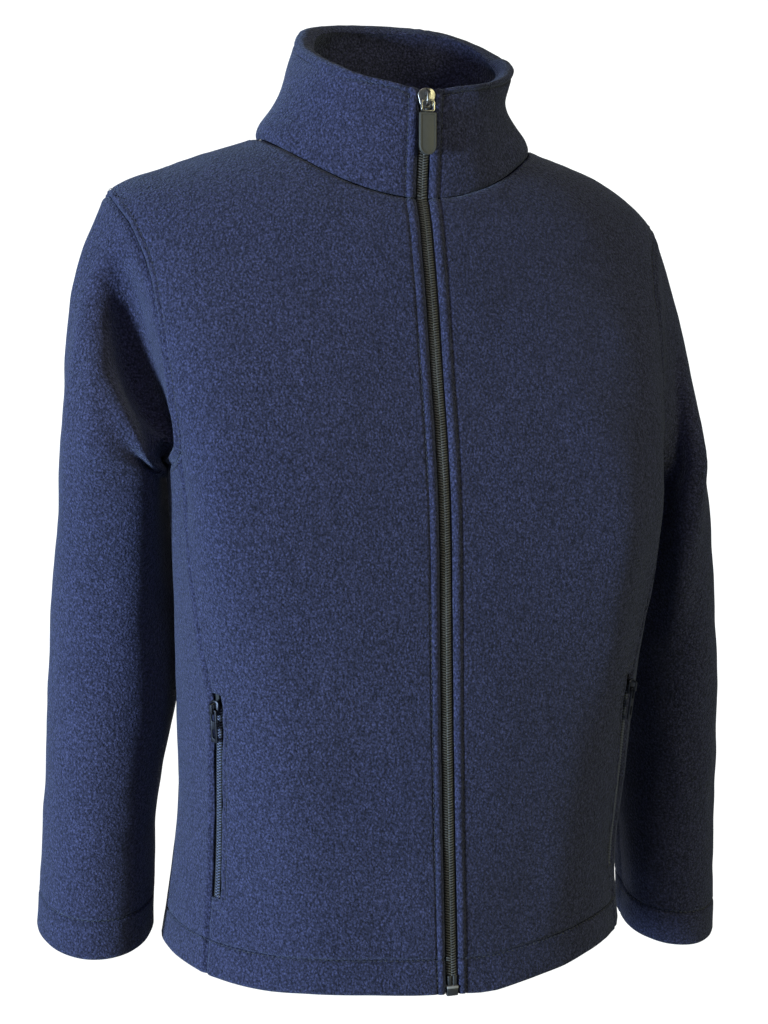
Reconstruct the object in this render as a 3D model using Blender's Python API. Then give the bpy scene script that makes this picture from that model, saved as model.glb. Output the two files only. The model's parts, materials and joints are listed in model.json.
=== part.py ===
"""A child's zip-front fleece jacket, filled out as it is when worn.

Every cloth piece is a wall cut from one of four surfaces: the torso (hem to neck seam), the two
sleeves (armhole to cuff) and the collar (neck seam to rim). Each surface is a stack of rings
whose sizes are in the short tables below. A piece of cloth is a range of a surface, so that
pieces that are sewn together share their seam and stay one seam gap apart. What lies on a panel
is made from the panel's own surface, moved in or out.

Tables are in millimetres and degrees; the meshes are in metres, +Z up. The wearer faces -Y, with
the right arm at -X. The origin is at the base of the neck, midway between the two shoulders.
"""

import math

import bmesh
import bpy
import numpy as np

MM = 0.001

# ---------------------------------------------------------------------------------------------
# Driving dimensions, in millimetres.
CLOTH = 2.6  # thickness of one layer of fleece
TURNED = 4.8  # two layers, at the hem, the cuffs and the collar
STEP = 1.5  # height over which a turned band thins to one layer
SEAM_GAP = 0.3  # between two pieces that are sewn together
HEM_TOP = -512.0  # height of the hem's stitching at the sides
CUFF_HEIGHT = 21.0
FRONT_EDGE = 4.3  # from the centre line to the folded edge of each front
CHAIN_HALF, CHAIN_THICK, CHAIN_INSET = 3.0, 2.0, 0.4  # the front zip's closed coil
TAPE_THICK, TAPE_EDGE = 0.8, 0.9  # a zip's tape, and its edge from the middle of the zip
TAPE_TORSO, TAPE_COLLAR = 15.0, 4.0  # how far a tape reaches from the centre line
BOX_HALF, BOX_HEIGHT = 3.7, 14.0  # the retainer at the foot of the front zip
SLIDER_Z = 23.8  # height of the ring at the middle of the front zip's slider
HEM_FRONT, NECK_FRONT = -539.0, -42.0  # heights of the torso's ends at the centre front
POCKET_TOP, POCKET_FOOT = -348.0, -483.0  # heights of the pocket zip's ends
POCKET_SLOT = 9.2  # how far a front is cut back along its pocket zip
POCKET_CHAIN_HALF = 2.0
POCKET_TAPE = (3.6, 4.3)  # its two faces, below the face of the cloth
POCKET_SLIDER_Z = -357.0
NOTCH = 0.3  # half the height over which a front is cut back

# How many steps each part of the cloth is divided into.
FRONT_STEPS, SIDE_STEPS, BACK_STEPS = 9, 6, 16
PRINCESS_STEPS = (1, 4, 5)  # below, along and above the pocket zip
ARMHOLE_STEPS, SHOULDER_STEPS = 9, 5
CAP_STEPS, SLEEVE_STEPS, COLLAR_STEPS, COLLAR_ROWS = 9, 10, 32, 6

# ---------------------------------------------------------------------------------------------
# A ring's sizes. Boxy squares its corners, sway moves its sides to the left, and tilt is its
# rise for each millimetre to the left.
RING_COLUMNS = (
    "half_width", "side_y", "side_z", "front_y", "front_z", "back_y", "back_z",
    "boxy_front", "boxy_back", "sway", "tilt",
)

# The torso, from the hem to the neck seam.
TORSO_ROWS = (
    # half_width side_y side_z front_y front_z back_y back_z boxy_front boxy_back sway tilt
    (159.5, 2, -531, -127, -539, 104, -531, 0.02, 0.02, -1, 0.01),
    (155, 0, -500, -124, -506, 101, -498, 0.02, 0.02, 0, 0.005),
    (154, -6, -430, -119, -436, 98, -428, 0.03, 0.0, 5, 0.0),
    (158, -12, -350, -114, -357, 96, -348, 0.05, -0.02, 7, 0.0),
    (162, -20, -280, -111, -287, 97, -276, 0.08, -0.03, 8, 0.0),
    (166, -23, -215, -106, -221, 101, -207, 0.09, -0.04, 8, 0.0),
    (176, -16, -150, -95, -166, 103, -140, 0.06, -0.02, 6, -0.01),
    (188, -4, -85, -85, -122, 100, -80, 0.02, 0.0, 1, -0.03),
    (189, 4, -48.5, -79, -96, 92, -48, -0.01, 0.0, -1.5, -0.045),
    (163, 5, -29, -73, -74, 80, -24, 0.0, 0.0, 0, -0.023),
    (124, 4, -13, -67, -55, 66, -4, 0.0, 0.0, 0, -0.014),
    (93, 2, -4, -61, -42, 54, 10, 0.0, 0.0, 0, -0.018),
)

# The collar, from the neck seam to its rim.
COLLAR_RINGS = (
    # half_width side_y side_z front_y front_z back_y back_z boxy_front boxy_back sway tilt
    (93, 2, -4, -61, -42, 54, 10, 0.0, 0.0, 0, -0.018),
    (91, 1.5, 4, -61.5, -33, 52.5, 19, 0.0, 0.0, 0, -0.02),
    (83.5, 0.5, 14, -63, -20, 50.5, 33, 0.0, 0.0, 0, -0.02),
    (76, -1, 28.5, -65.5, -2, 48.5, 51, 0.01, 0.01, 0.7, -0.021),
    (74.2, -2, 43.5, -67, 15, 46.5, 67.5, 0.02, 0.02, 3.0, -0.022),
    (74.2, -2, 57.3, -68, 31, 45, 81.5, 0.02, 0.03, 4.3, -0.022),
)
DIP = (5.5, 16.0)  # how far the rim dips at the zip, and half the width of the dip

# The long seams: the angle from the centre front, by the height of the ring at its side.
SEAM_COLUMNS = ("height", "right", "left")
PRINCESS_ROWS = (
    (-534, 62.5, 58), (-500, 64, 58), (-430, 65, 57.5), (-383, 63.5, 56.5), (-347, 62, 55),
    (-316, 65, 57), (-291, 68, 59.5), (-267, 71, 62.5), (-242, 73, 66), (-217, 73, 69),
    (-198, 71.5, 71.5),
)
BACK_SEAM_ROWS = ((-534, 118, 118), (-430, 120, 120), (-280, 120, 120), (-200, 117, 117))

# An armhole, from the tip of the shoulder down its front, round the underarm and up its back.
ARMHOLE_ROWS = (
    # angle height
    (90, -48), (76, -55), (70, -63), (66.5, -77), (65, -95), (65.5, -117), (67, -145),
    (68.5, -173), (71.5, -198), (79, -207), (92, -211), (106, -209), (117, -200), (121, -175),
    (122.5, -145), (122, -115), (119, -88), (113, -68), (103, -55),
)
FRONT_CORNER, BACK_CORNER = 8, 12  # the rows where the princess and back seams meet it

# A sleeve, from just below the underarm to the cuff. Out is the distance from the middle of the
# body. Turn swings the ring's front outwards, and the slopes are its rise outwards and back.
SLEEVE_COLUMNS = ("out", "y", "z", "half_out", "half_y", "turn", "slope_out", "slope_y")
SLEEVE_RIGHT_ROWS = (
    # out y z half_out half_y turn slope_out slope_y
    (186.8, 12, -205, 31.2, 62, 20, 0.4, 0.05),
    (182.2, 26, -250, 36.3, 60, 26, 0.15, 0.05),
    (182, 36, -300, 40.8, 57, 28, 0.1, 0.05),
    (185, 37, -365, 42.6, 53, 22, 0.05, 0.08),
    (193, 36, -420, 38.9, 50, 12, 0.03, 0.12),
    (197, 36, -470, 37.8, 48, 6, 0.0, 0.16),
    (200, 36, -526.5, 39.5, 48, 4, 0.0, 0.2),
)
SLEEVE_LEFT_ROWS = (
    # out y z half_out half_y turn slope_out slope_y
    (197, 14, -222, 26, 62, 4, 0.4, 0.05),
    (201, 19, -270, 34.5, 58, 6, 0.2, 0.05),
    (209.5, 24, -325, 34.5, 54, 8, 0.1, 0.08),
    (216.5, 28, -385, 35, 50, 8, 0.05, 0.1),
    (219.5, 30, -440, 35, 48, 6, 0.03, 0.12),
    (220, 30, -500, 34.5, 46, 4, 0.0, 0.15),
    (221.5, 30, -563, 34.5, 46, 4, 0.0, 0.15),
)

# The largest folds of the sleeves, each a line of places. Round is counted from the sleeve's
# outer side forwards. Along is in millimetres below the first ring, or with a minus sign the
# share of the cap that is left above it, in per cent. A fold with a minus depth is raised.
FOLD_COLUMNS = ("round", "along", "depth", "width")
ROUND_LENGTH = 0.84  # of cloth for each degree round a sleeve
SLEEVE_FOLDS = {
    "right": (
        ((34, -84, 0, 11), (47, -78, 9, 14), (62, -73, 16, 16), (82, -69, 20, 17),
         (102, -67, 21, 17), (122, -65, 19, 16), (142, -62, 11, 15), (164, -56, 0, 12)),
        ((80, -56, 0, 9), (102, -43, -4, 10), (128, -36, -6, 10), (150, -33, -6, 9),
         (170, -32, -5, 9), (192, -30, 0, 9)),
        ((318, -78, 0, 10), (298, -66, 6, 13), (270, -58, 9, 14), (240, -52, 6, 13),
         (215, -46, 0, 12)),
    ),
    "left": (
        ((60, -66, 0, 10), (88, -52, 5, 13), (108, -30, 9, 15), (124, 2, 10, 16),
         (130, 40, 8, 15), (142, 90, 4, 14), (150, 130, 0, 12)),
        ((62, -34, 0, 9), (73, -4, -3.5, 11), (94, 44, -4, 11), (114, 92, -2.5, 11),
         (124, 120, 0, 10)),
        ((318, -70, 0, 10), (292, -58, 6, 13), (262, -50, 9, 14), (235, -42, 6, 13),
         (212, -36, 0, 12)),
    ),
}

# ---------------------------------------------------------------------------------------------
# Finishes: base colour, roughness, metallic.
FLEECE_BLUE = ((0.030, 0.038, 0.085), 0.95, 0.0)
COIL_BLACK = ((0.012, 0.012, 0.016), 0.45, 0.0)
TAPE_BLACK = ((0.016, 0.017, 0.024), 0.85, 0.0)
NICKEL = ((0.42, 0.42, 0.44), 0.32, 1.0)
RUBBER_GREY = ((0.060, 0.062, 0.070), 0.6, 0.0)


def table(columns, rows):
    """The rows of a table as a dictionary of columns."""
    return {name: np.array([row[i] for row in rows], float) for i, name in enumerate(columns)}


def unit(vectors):
    """The vectors scaled to a length of one."""
    return vectors / np.linalg.norm(vectors, axis=-1, keepdims=True)


class Spline:
    """A natural cubic spline through named columns, one value of each for every station."""

    def __init__(self, stations, columns):
        self.stations = np.asarray(stations, float)
        self.columns = columns
        step = np.diff(self.stations)
        count = len(self.stations)
        system = np.eye(count)
        for i in range(1, count - 1):
            system[i, i - 1 : i + 2] = (step[i - 1], 2 * (step[i - 1] + step[i]), step[i])
        self.bends = {}
        for name, values in columns.items():
            slope = np.diff(values) / step
            right = np.zeros(count)
            right[1:-1] = 6 * np.diff(slope)
            self.bends[name] = np.linalg.solve(system, right)

    def __call__(self, name, at):
        """The value of a column at each station in at."""
        at = np.asarray(at, float)
        i = np.clip(np.searchsorted(self.stations, at) - 1, 0, len(self.stations) - 2)
        low, high = self.stations[i], self.stations[i + 1]
        h = high - low
        a, b = (high - at) / h, (at - low) / h
        values, bend = self.columns[name], self.bends[name]
        curve = ((a**3 - a) * bend[i] + (b**3 - b) * bend[i + 1]) * h**2 / 6
        return a * values[i] + b * values[i + 1] + curve


class RingSurface:
    """A surface through rings. Angle 0 is the centre front, and +pi/2 the wearer's left side.

    A ring dips or rises towards its front and back in a curve. The plane makes the last ring
    flatter: at 1 it lies in a plane. The dip lowers the last ring at the centre front.
    """

    def __init__(self, rows, plane=0.0, dip=(0.0, 1.0)):
        self.plane, self.dip = plane, dip
        columns = table(RING_COLUMNS, rows)
        side = np.stack([columns["half_width"], columns["side_y"], columns["side_z"]])
        front = np.stack([columns["front_y"], columns["front_z"]])
        steps = np.linalg.norm(np.diff(side), axis=0) + np.linalg.norm(np.diff(front), axis=0)
        stations = np.concatenate([[0], np.cumsum(steps)])
        self.spline = Spline(stations / stations[-1], columns)

    def level(self, height, column="side_z"):
        """The level of the ring that has this height at its sides, or at its front."""
        levels = np.linspace(0, 1, 801)
        return np.interp(height, self.spline(column, levels), levels)

    def points(self, angle, level):
        """The surface's points. Level 0 is the first row and 1 the last."""
        angle, level = np.broadcast_arrays(np.asarray(angle, float), np.asarray(level, float))
        row = {name: self.spline(name, level) for name in RING_COLUMNS}
        cos, sin = np.cos(angle), np.sin(angle)
        is_front = cos > 0
        boxy = np.where(is_front, row["boxy_front"], row["boxy_back"])
        depth = np.where(is_front, row["side_y"] - row["front_y"], row["back_y"] - row["side_y"])
        rise = np.where(is_front, row["front_z"], row["back_z"]) - row["side_z"]
        x = row["half_width"] * (sin + boxy * np.sin(3 * angle)) / (1 - boxy)
        x += row["sway"] * sin**2
        y = row["side_y"] - depth * (cos - boxy * np.cos(3 * angle)) / (1 - boxy)
        bend = np.abs(cos) ** (2 - self.plane * level)
        lowest, spread = self.dip
        notch = lowest * level**2 * np.exp(-((x / spread) ** 2)) * is_front
        z = row["side_z"] + rise * bend + row["tilt"] * x - notch
        return np.stack([x, y, z], axis=-1)

    def normals(self, angle, level):
        """The directions out of the surface."""
        low, high = np.clip(level - 1e-3, 0, 1), np.clip(level + 1e-3, 0, 1)
        around = self.points(angle + 1e-3, level) - self.points(angle - 1e-3, level)
        return unit(np.cross(around, self.points(angle, high) - self.points(angle, low)))

    def angle_at(self, x, level):
        """The angle at which the front of a ring is x from the centre line."""
        row = {name: self.spline(name, level) for name in ("half_width", "boxy_front")}
        boxy = row["boxy_front"]
        return x * (1 - boxy) / (row["half_width"] * (1 + 3 * boxy))


TORSO = RingSurface(TORSO_ROWS)
COLLAR = RingSurface(COLLAR_RINGS, plane=1.0, dip=DIP)
PRINCESS = table(SEAM_COLUMNS, PRINCESS_ROWS)
BACK_SEAM = table(SEAM_COLUMNS, BACK_SEAM_ROWS)
SIDES = {"right": -1, "left": 1}
HEM_LEVELS = TORSO.level(np.array([-534.0, HEM_TOP, HEM_TOP + STEP]))
POCKET_LEVELS = TORSO.level(np.array([POCKET_FOOT, POCKET_TOP]))


def seam_angle(seam, side, level):
    """The angle of a long seam at each level, without its sign."""
    heights = TORSO.spline("side_z", level)
    return np.radians(Spline(seam["height"], {"angle": seam[side]})("angle", heights))


def resample(points, count):
    """The places that divide a line of points into equal lengths, counted in its points."""
    lengths = np.concatenate([[0], np.cumsum(np.linalg.norm(np.diff(points, axis=0), axis=1))])
    return np.interp(np.linspace(0, lengths[-1], count + 1), lengths, np.arange(len(lengths)))


def armhole(side):
    """An armhole's angles (without their sign) and levels, in three runs of equal steps."""
    rows = np.array(ARMHOLE_ROWS + ARMHOLE_ROWS[:1], float)
    chords = np.linalg.norm(np.diff(rows, axis=0) * (2.2, 1), axis=1)
    stations = np.concatenate([[0], np.cumsum(chords)])
    padded = np.vstack([rows[-4:-1], rows, rows[1:4]])
    before, after = stations[-4:-1] - stations[-1], stations[1:4] + stations[-1]
    around = np.concatenate([before, stations, after])
    curve = Spline(around, {"angle": padded[:, 0], "height": padded[:, 1]})
    corners = (0, FRONT_CORNER, BACK_CORNER, len(ARMHOLE_ROWS))
    steps = (ARMHOLE_STEPS, SIDE_STEPS, ARMHOLE_STEPS)
    angles, levels = [], []
    for first, last, count in zip(corners[:-1], corners[1:], steps):
        dense = np.linspace(stations[first], stations[last], 201)
        angle = np.radians(curve("angle", dense))
        level = TORSO.level(curve("height", dense))
        places = resample(TORSO.points(SIDES[side] * angle, level), count)
        angles.append(np.interp(places, np.arange(201), angle))
        levels.append(np.interp(places, np.arange(201), level))
    return angles, levels


def inset(points, normals, row=None, column=None):
    """Move one edge of a grid of points into the grid by half a seam gap, square to the edge."""
    edge = (row, slice(None)) if row is not None else (slice(None), column)
    step = 1 if (row if row is not None else column) == 0 else -1
    inner = points[row + step] if row is not None else points[:, column + step]
    line = points[edge]
    across = unit(np.cross(normals[edge], unit(np.gradient(line, axis=0))))
    sign = np.where(np.sum((inner - line) * across, axis=-1, keepdims=True) < 0, -1, 1)
    moved = points.copy()
    moved[edge] = line + across * sign * SEAM_GAP / 2
    return moved


# ---------------------------------------------------------------------------------------------
# Meshes and materials.
def material(name, finish):
    """A material of the piece's own, from its finish."""
    colour, roughness, metallic = finish
    made = bpy.data.materials.new(name)
    made.use_nodes = True
    shader = made.node_tree.nodes["Principled BSDF"]
    shader.inputs["Base Color"].default_value = (*colour, 1.0)
    shader.inputs["Roughness"].default_value = roughness
    shader.inputs["Metallic"].default_value = metallic
    made.diffuse_color = (*colour, 1.0)
    return made


def add_object(name, vertices, faces, finish, smooth=True, origin=(0, 0, 0)):
    """A named object from points in millimetres, with its faces turned outwards."""
    origin = np.asarray(origin, float)
    mesh = bpy.data.meshes.new(name)
    mesh.from_pydata(((np.asarray(vertices) - origin) * MM).tolist(), [], faces)
    shape = bmesh.new()
    shape.from_mesh(mesh)
    bmesh.ops.recalc_face_normals(shape, faces=shape.faces)
    for face in shape.faces:
        face.smooth = smooth
    shape.to_mesh(mesh)
    shape.free()
    mesh.materials.append(material(name, finish))
    made = bpy.data.objects.new(name, mesh)
    made.location = (origin * MM).tolist()
    bpy.context.scene.collection.objects.link(made)
    return made


def grid_faces(index):
    """The four-cornered faces of a grid of vertex numbers."""
    corners = (index[:-1, :-1], index[:-1, 1:], index[1:, 1:], index[1:, :-1])
    return np.stack(corners, axis=-1).reshape(-1, 4).tolist()


def split_twisted(faces, points):
    """Divide each four-cornered face that isn't flat across its shorter diagonal."""
    faces = np.array(faces)
    a, b, c, d = (points[faces[:, i]] for i in range(4))
    upright = np.cross(c - a, d - b)
    twist = np.abs(np.sum((b - a) * upright, axis=1)) / np.linalg.norm(upright, axis=1)
    first, second = np.linalg.norm(a - c, axis=1), np.linalg.norm(b - d, axis=1)
    result = []
    for face, is_flat, is_first in zip(faces.tolist(), twist < 0.03, first < second):
        if is_flat:
            result.append(face)
        elif is_first:
            result += [face[:3], [face[0], face[2], face[3]]]
        else:
            result += [[face[0], face[1], face[3]], face[1:]]
    return result


def add_wall(name, outer, inner, finish, closed=False, round_top=0.0):
    """A wall between two grids of points; a closed one joins its last column to its first."""
    layers = [outer]
    if round_top:
        edge, across = outer[-1], inner[-1] - outer[-1]
        up = unit(outer[-1] - outer[-2]) * round_top
        for turn in np.radians((45, 90, 135)):
            layers.append((edge + across * (1 - np.cos(turn)) / 2 + up * np.sin(turn))[None])
    layers.append(inner[::-1])
    loop = np.concatenate(layers)
    rows, pairs = len(loop), len(outer)
    index = np.arange(rows * loop.shape[1]).reshape(loop.shape[:2])
    index = np.concatenate([index, index[:1]])
    if closed:
        index = np.concatenate([index, index[:, :1]], axis=1)
    faces = grid_faces(index)
    for column in () if closed else (0, -1):
        ends = index[:rows, column].tolist()
        for i in range(pairs - 1):
            faces.append([ends[i], ends[i + 1], ends[rows - 2 - i], ends[rows - 1 - i]])
        if round_top:
            faces.append(ends[pairs - 1 : rows - pairs + 1])
    points = loop.reshape(-1, 3)
    squares = split_twisted([face for face in faces if len(face) == 4], points)
    return add_object(name, points, squares + [face for face in faces if len(face) > 4], finish)


def add_layer(name, points, normals, low, high, finish, **options):
    """A wall between two depths below a grid of points."""
    return add_wall(name, points - normals * low, points - normals * high, finish, **options)


# ---------------------------------------------------------------------------------------------
# The torso's panels.
def long_shares(top):
    """Where a long seam is divided between the hem's stitching and its top, as shares of it."""
    length = TORSO.spline("side_z", top) - TORSO.spline("side_z", HEM_LEVELS[2])
    foot, head = (POCKET_LEVELS - HEM_LEVELS[2]) / (top - HEM_LEVELS[2])
    half = NOTCH / length
    runs = ((0, foot - half), (foot + half, head - half), (head + half, 1))
    return np.concatenate([np.linspace(*run, n + 1) for run, n in zip(runs, PRINCESS_STEPS)])


def seam_levels(top, shares):
    """A long seam's levels from the hem to its top."""
    return np.concatenate([HEM_LEVELS[:2], HEM_LEVELS[2] + shares * (top - HEM_LEVELS[2])])


def hem_thickness(rows):
    """The thickness of the cloth at each row of a panel that starts at the hem."""
    return np.where(np.arange(rows) < 2, TURNED, CLOTH)[:, None, None]


def side_of_front(side):
    """The levels of a front's rows, and the angles of its sewn edge without their sign."""
    angles, levels = armhole(side)
    long = seam_levels(levels[0][-1], long_shares(levels[0][-1]))
    princess = seam_angle(PRINCESS, side, long)
    princess[-1] = angles[0][-1]
    shoulder = np.linspace(levels[0][0], 1, SHOULDER_STEPS + 1)[1:]
    level = np.concatenate([long, levels[0][-2::-1], shoulder])
    angle = np.concatenate([princess, angles[0][-2::-1], np.full(SHOULDER_STEPS, math.pi / 2)])
    return level, angle


def forward(side, level, angle, width):
    """The angle that lies this far in front of a seam, measured round each ring."""
    turn = SIDES[side] * np.asarray(angle)
    arc = TORSO.points(turn + 1e-3, level) - TORSO.points(turn - 1e-3, level)
    return angle - width * 2e-3 / np.linalg.norm(arc, axis=-1)


def add_front(side):
    """One front panel, from the zip to the princess seam, armhole and shoulder."""
    level, edge = side_of_front(side)
    cut = (level > POCKET_LEVELS[0]) & (level < POCKET_LEVELS[1])
    edge = np.where(cut, forward(side, level, edge, POCKET_SLOT), edge)
    first = TORSO.angle_at(FRONT_EDGE, level)
    share = np.linspace(0, 1, FRONT_STEPS + 1)
    angle = SIDES[side] * (first[:, None] + (edge - first)[:, None] * share)
    points, normals = TORSO.points(angle, level[:, None]), TORSO.normals(angle, level[:, None])
    points = inset(inset(points, normals, row=len(level) - 1), normals, column=FRONT_STEPS)
    add_layer(f"front_{side}", points, normals, 0, hem_thickness(len(level)), FLEECE_BLUE)


def add_side(side):
    """One side panel, between the princess seam and the seam at the back."""
    angles, levels = armhole(side)
    shares = long_shares(levels[0][-1])
    level = np.stack([seam_levels(top, shares) for top in levels[1]], axis=1)
    princess = seam_angle(PRINCESS, side, level[:, 0])
    back = seam_angle(BACK_SEAM, side, level[:, -1])
    top = angles[1]
    princess[-1], back[-1] = top[0], top[-1]
    share = (top - top[0]) / (top[-1] - top[0])
    angle = SIDES[side] * (princess[:, None] + (back - princess)[:, None] * share)
    points, normals = TORSO.points(angle, level), TORSO.normals(angle, level)
    points = inset(points, normals, row=len(level) - 1)
    points = inset(inset(points, normals, column=0), normals, column=SIDE_STEPS)
    add_layer(f"side_{side}", points, normals, 0, hem_thickness(len(level)), FLEECE_BLUE)


def side_of_back(side):
    """The levels of the back's rows at one side, and the angles of its edge without sign."""
    angles, levels = armhole(side)
    long = seam_levels(levels[1][-1], long_shares(levels[0][-1]))
    seam = seam_angle(BACK_SEAM, side, long)
    seam[-1] = angles[1][-1]
    shoulder = np.linspace(levels[0][0], 1, SHOULDER_STEPS + 1)[1:]
    level = np.concatenate([long, levels[2][1:], shoulder])
    return level, np.concatenate([seam, angles[2][1:], np.full(SHOULDER_STEPS, math.pi / 2)])


def add_back():
    """The back, from one back seam round to the other and up to the shoulders and neck."""
    left_level, left = (values[:, None] for values in side_of_back("left"))
    right_level, right = (values[:, None] for values in side_of_back("right"))
    share = np.linspace(0, 1, BACK_STEPS + 1)
    level = left_level + (right_level - left_level) * share
    angle = left + (2 * math.pi - right - left) * share
    points, normals = TORSO.points(angle, level), TORSO.normals(angle, level)
    points = inset(points, normals, row=len(level) - 1)
    points = inset(inset(points, normals, column=0), normals, column=BACK_STEPS)
    add_layer("back", points, normals, 0, hem_thickness(len(level)), FLEECE_BLUE)


# ---------------------------------------------------------------------------------------------
# The sleeves and the collar.
def pressed(folds, turn, along):
    """How far the folds press in each place, for arrays of turns and of places along."""
    depth = np.zeros(np.broadcast(turn, along).shape)
    for rows in folds:
        line = table(FOLD_COLUMNS, rows)
        places = np.linspace(0, len(rows) - 1, 12 * len(rows))
        line = {name: np.interp(places, np.arange(len(rows)), line[name]) for name in line}
        across = (turn[..., None] - line["round"]) * ROUND_LENGTH
        away = across**2 + (along[..., None] - line["along"]) ** 2
        nearest = away.argmin(axis=-1)
        near = np.take_along_axis(away, nearest[..., None], axis=-1)[..., 0]
        depth += line["depth"][nearest] * np.exp(-near / line["width"][nearest] ** 2)
    return depth


class Sleeve:
    """A sleeve's surface: a cap from the armhole to its first ring, then a tube to the cuff."""

    def __init__(self, side):
        self.sign = SIDES[side]
        self.folds = SLEEVE_FOLDS[side]
        rows = SLEEVE_RIGHT_ROWS if side == "right" else SLEEVE_LEFT_ROWS
        columns = table(SLEEVE_COLUMNS, rows)
        centres = np.stack([columns["out"], columns["y"], columns["z"]])
        stations = np.concatenate([[0], np.cumsum(np.linalg.norm(np.diff(centres), axis=0))])
        self.length = stations[-1]
        self.spline = Spline(stations, columns)
        angles, levels = armhole(side)
        angle = self.sign * np.concatenate([run[:-1] for run in angles])
        level = np.concatenate([run[:-1] for run in levels])
        seam, self.upright = TORSO.points(angle, level), TORSO.normals(angle, level)
        along = unit(np.roll(seam, -1, axis=0) - np.roll(seam, 1, axis=0))
        self.away = unit(np.cross(self.upright, along)) * self.sign
        self.seam = seam + self.away * SEAM_GAP / 2
        lengths = np.linalg.norm(np.roll(seam, -1, axis=0) - seam, axis=1)
        self.share = np.concatenate([[0], np.cumsum(lengths)[:-1]]) / lengths.sum()

    def ring(self, at):
        """A ring's points at this distance from the first one, from its outer side forwards."""
        row = {name: self.spline(name, at) for name in SLEEVE_COLUMNS}
        around, turn = 2 * math.pi * self.share, np.radians(row["turn"])
        out, back = row["half_out"] * np.cos(around), -row["half_y"] * np.sin(around)
        x = out * np.cos(turn) - back * np.sin(turn)
        y = out * np.sin(turn) + back * np.cos(turn)
        z = row["z"] + row["slope_out"] * x + row["slope_y"] * y
        return np.stack([self.sign * (row["out"] + x), row["y"] + y, z], axis=-1)

    def cap(self, share):
        """The cap's points at a share of the way from the armhole to the first ring."""
        first = self.ring(0.0)
        down = unit(self.ring(1.0) - first)
        reach = np.maximum(np.linalg.norm(first - self.seam, axis=-1, keepdims=True), 14.0)
        a, b = 2 * share**3 - 3 * share**2 + 1, share**3 - 2 * share**2 + share
        c, d = -2 * share**3 + 3 * share**2, share**3 - share**2
        return a * self.seam + b * reach * self.away + c * first + d * reach * down

    def grid(self, fine=4):
        """The sleeve's outer points, normals and thicknesses, row by row."""
        bands = self.length - np.array([CUFF_HEIGHT + STEP, CUFF_HEIGHT, 0])
        tube = np.concatenate([np.linspace(0, bands[0], SLEEVE_STEPS + 1), bands[1:]])
        places = np.arange((len(tube) - 1) * fine + 1) / fine
        stations = np.interp(places, np.arange(len(tube)), tube)
        shares = np.arange(CAP_STEPS * fine) / (CAP_STEPS * fine)
        points = np.stack([self.cap(s) for s in shares] + [self.ring(at) for at in stations])
        along = np.concatenate([(shares - 1) * 100, stations])[:, None]
        depth = pressed(self.folds, 360 * self.share[None], along)
        points = points - self.normals(points) * depth[..., None]
        normals = self.normals(points)
        normals[0] = self.upright
        points, normals = points[::fine], normals[::fine]
        thick = np.where(np.arange(len(points)) >= len(points) - 2, TURNED, CLOTH)
        return points, normals, thick[:, None, None]

    def normals(self, points):
        """The directions out of a closed grid of points."""
        around = np.roll(points, -1, axis=1) - np.roll(points, 1, axis=1)
        return unit(np.cross(np.gradient(points, axis=0), around)) * -self.sign


def add_sleeve(side):
    """One sleeve, closed along its underarm, from the armhole to the turned cuff."""
    points, normals, thick = Sleeve(side).grid()
    add_layer(f"sleeve_{side}", points, normals, 0, thick, FLEECE_BLUE, closed=True)


def add_collar():
    """The stand collar, folded over at its rim and open at the centre front."""
    level = np.linspace(0, 1, COLLAR_ROWS + 1)[:, None]
    edge = COLLAR.angle_at(FRONT_EDGE, level)
    angle = edge + (2 * math.pi - 2 * edge) * np.linspace(0, 1, COLLAR_STEPS + 1)
    normals = COLLAR.normals(angle, level)
    points = inset(COLLAR.points(angle, level), normals, row=0)
    add_layer("collar", points, normals, 0, TURNED, FLEECE_BLUE, round_top=2.0)


# ---------------------------------------------------------------------------------------------
# The zips.
class Frame:
    """A place on a surface: x across it, t up along it and n out of it."""

    def __init__(self, line, normal):
        below, self.origin, above = line
        across = unit(np.cross(above - below, normal))
        self.axes = np.stack([across, np.cross(normal, across), normal])

    def world(self, local):
        """Points of the frame, in millimetres of the jacket."""
        return self.origin + np.asarray(local, float) @ self.axes


def prism(outline, low, high, axis=2):
    """The corners and faces of an outline that is drawn out along one axis of a frame."""
    count = len(outline)
    vertices = [np.insert(np.asarray(p, float), axis, at) for at in (low, high) for p in outline]
    faces = [list(range(count)), list(range(2 * count - 1, count - 1, -1))]
    for i in range(count):
        j = (i + 1) % count
        faces.append([i, j, j + count, i + count])
    return np.array(vertices), faces


def rounded(half_width, foot, head, radius, foot_radius=None, steps=4):
    """The outline of a rectangle with round corners, from its foot up its right side."""
    low = radius if foot_radius is None else foot_radius
    corners = (
        (half_width - low, foot + low, low), (half_width - radius, head - radius, radius),
        (radius - half_width, head - radius, radius), (low - half_width, foot + low, low),
    )
    outline = []
    for start, (x, t, size) in zip((-90, 0, 90, 180), corners):
        for turn in np.radians(start + np.linspace(0, 90, steps)):
            outline.append((x + size * math.cos(turn), t + size * math.sin(turn)))
    return outline


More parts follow.
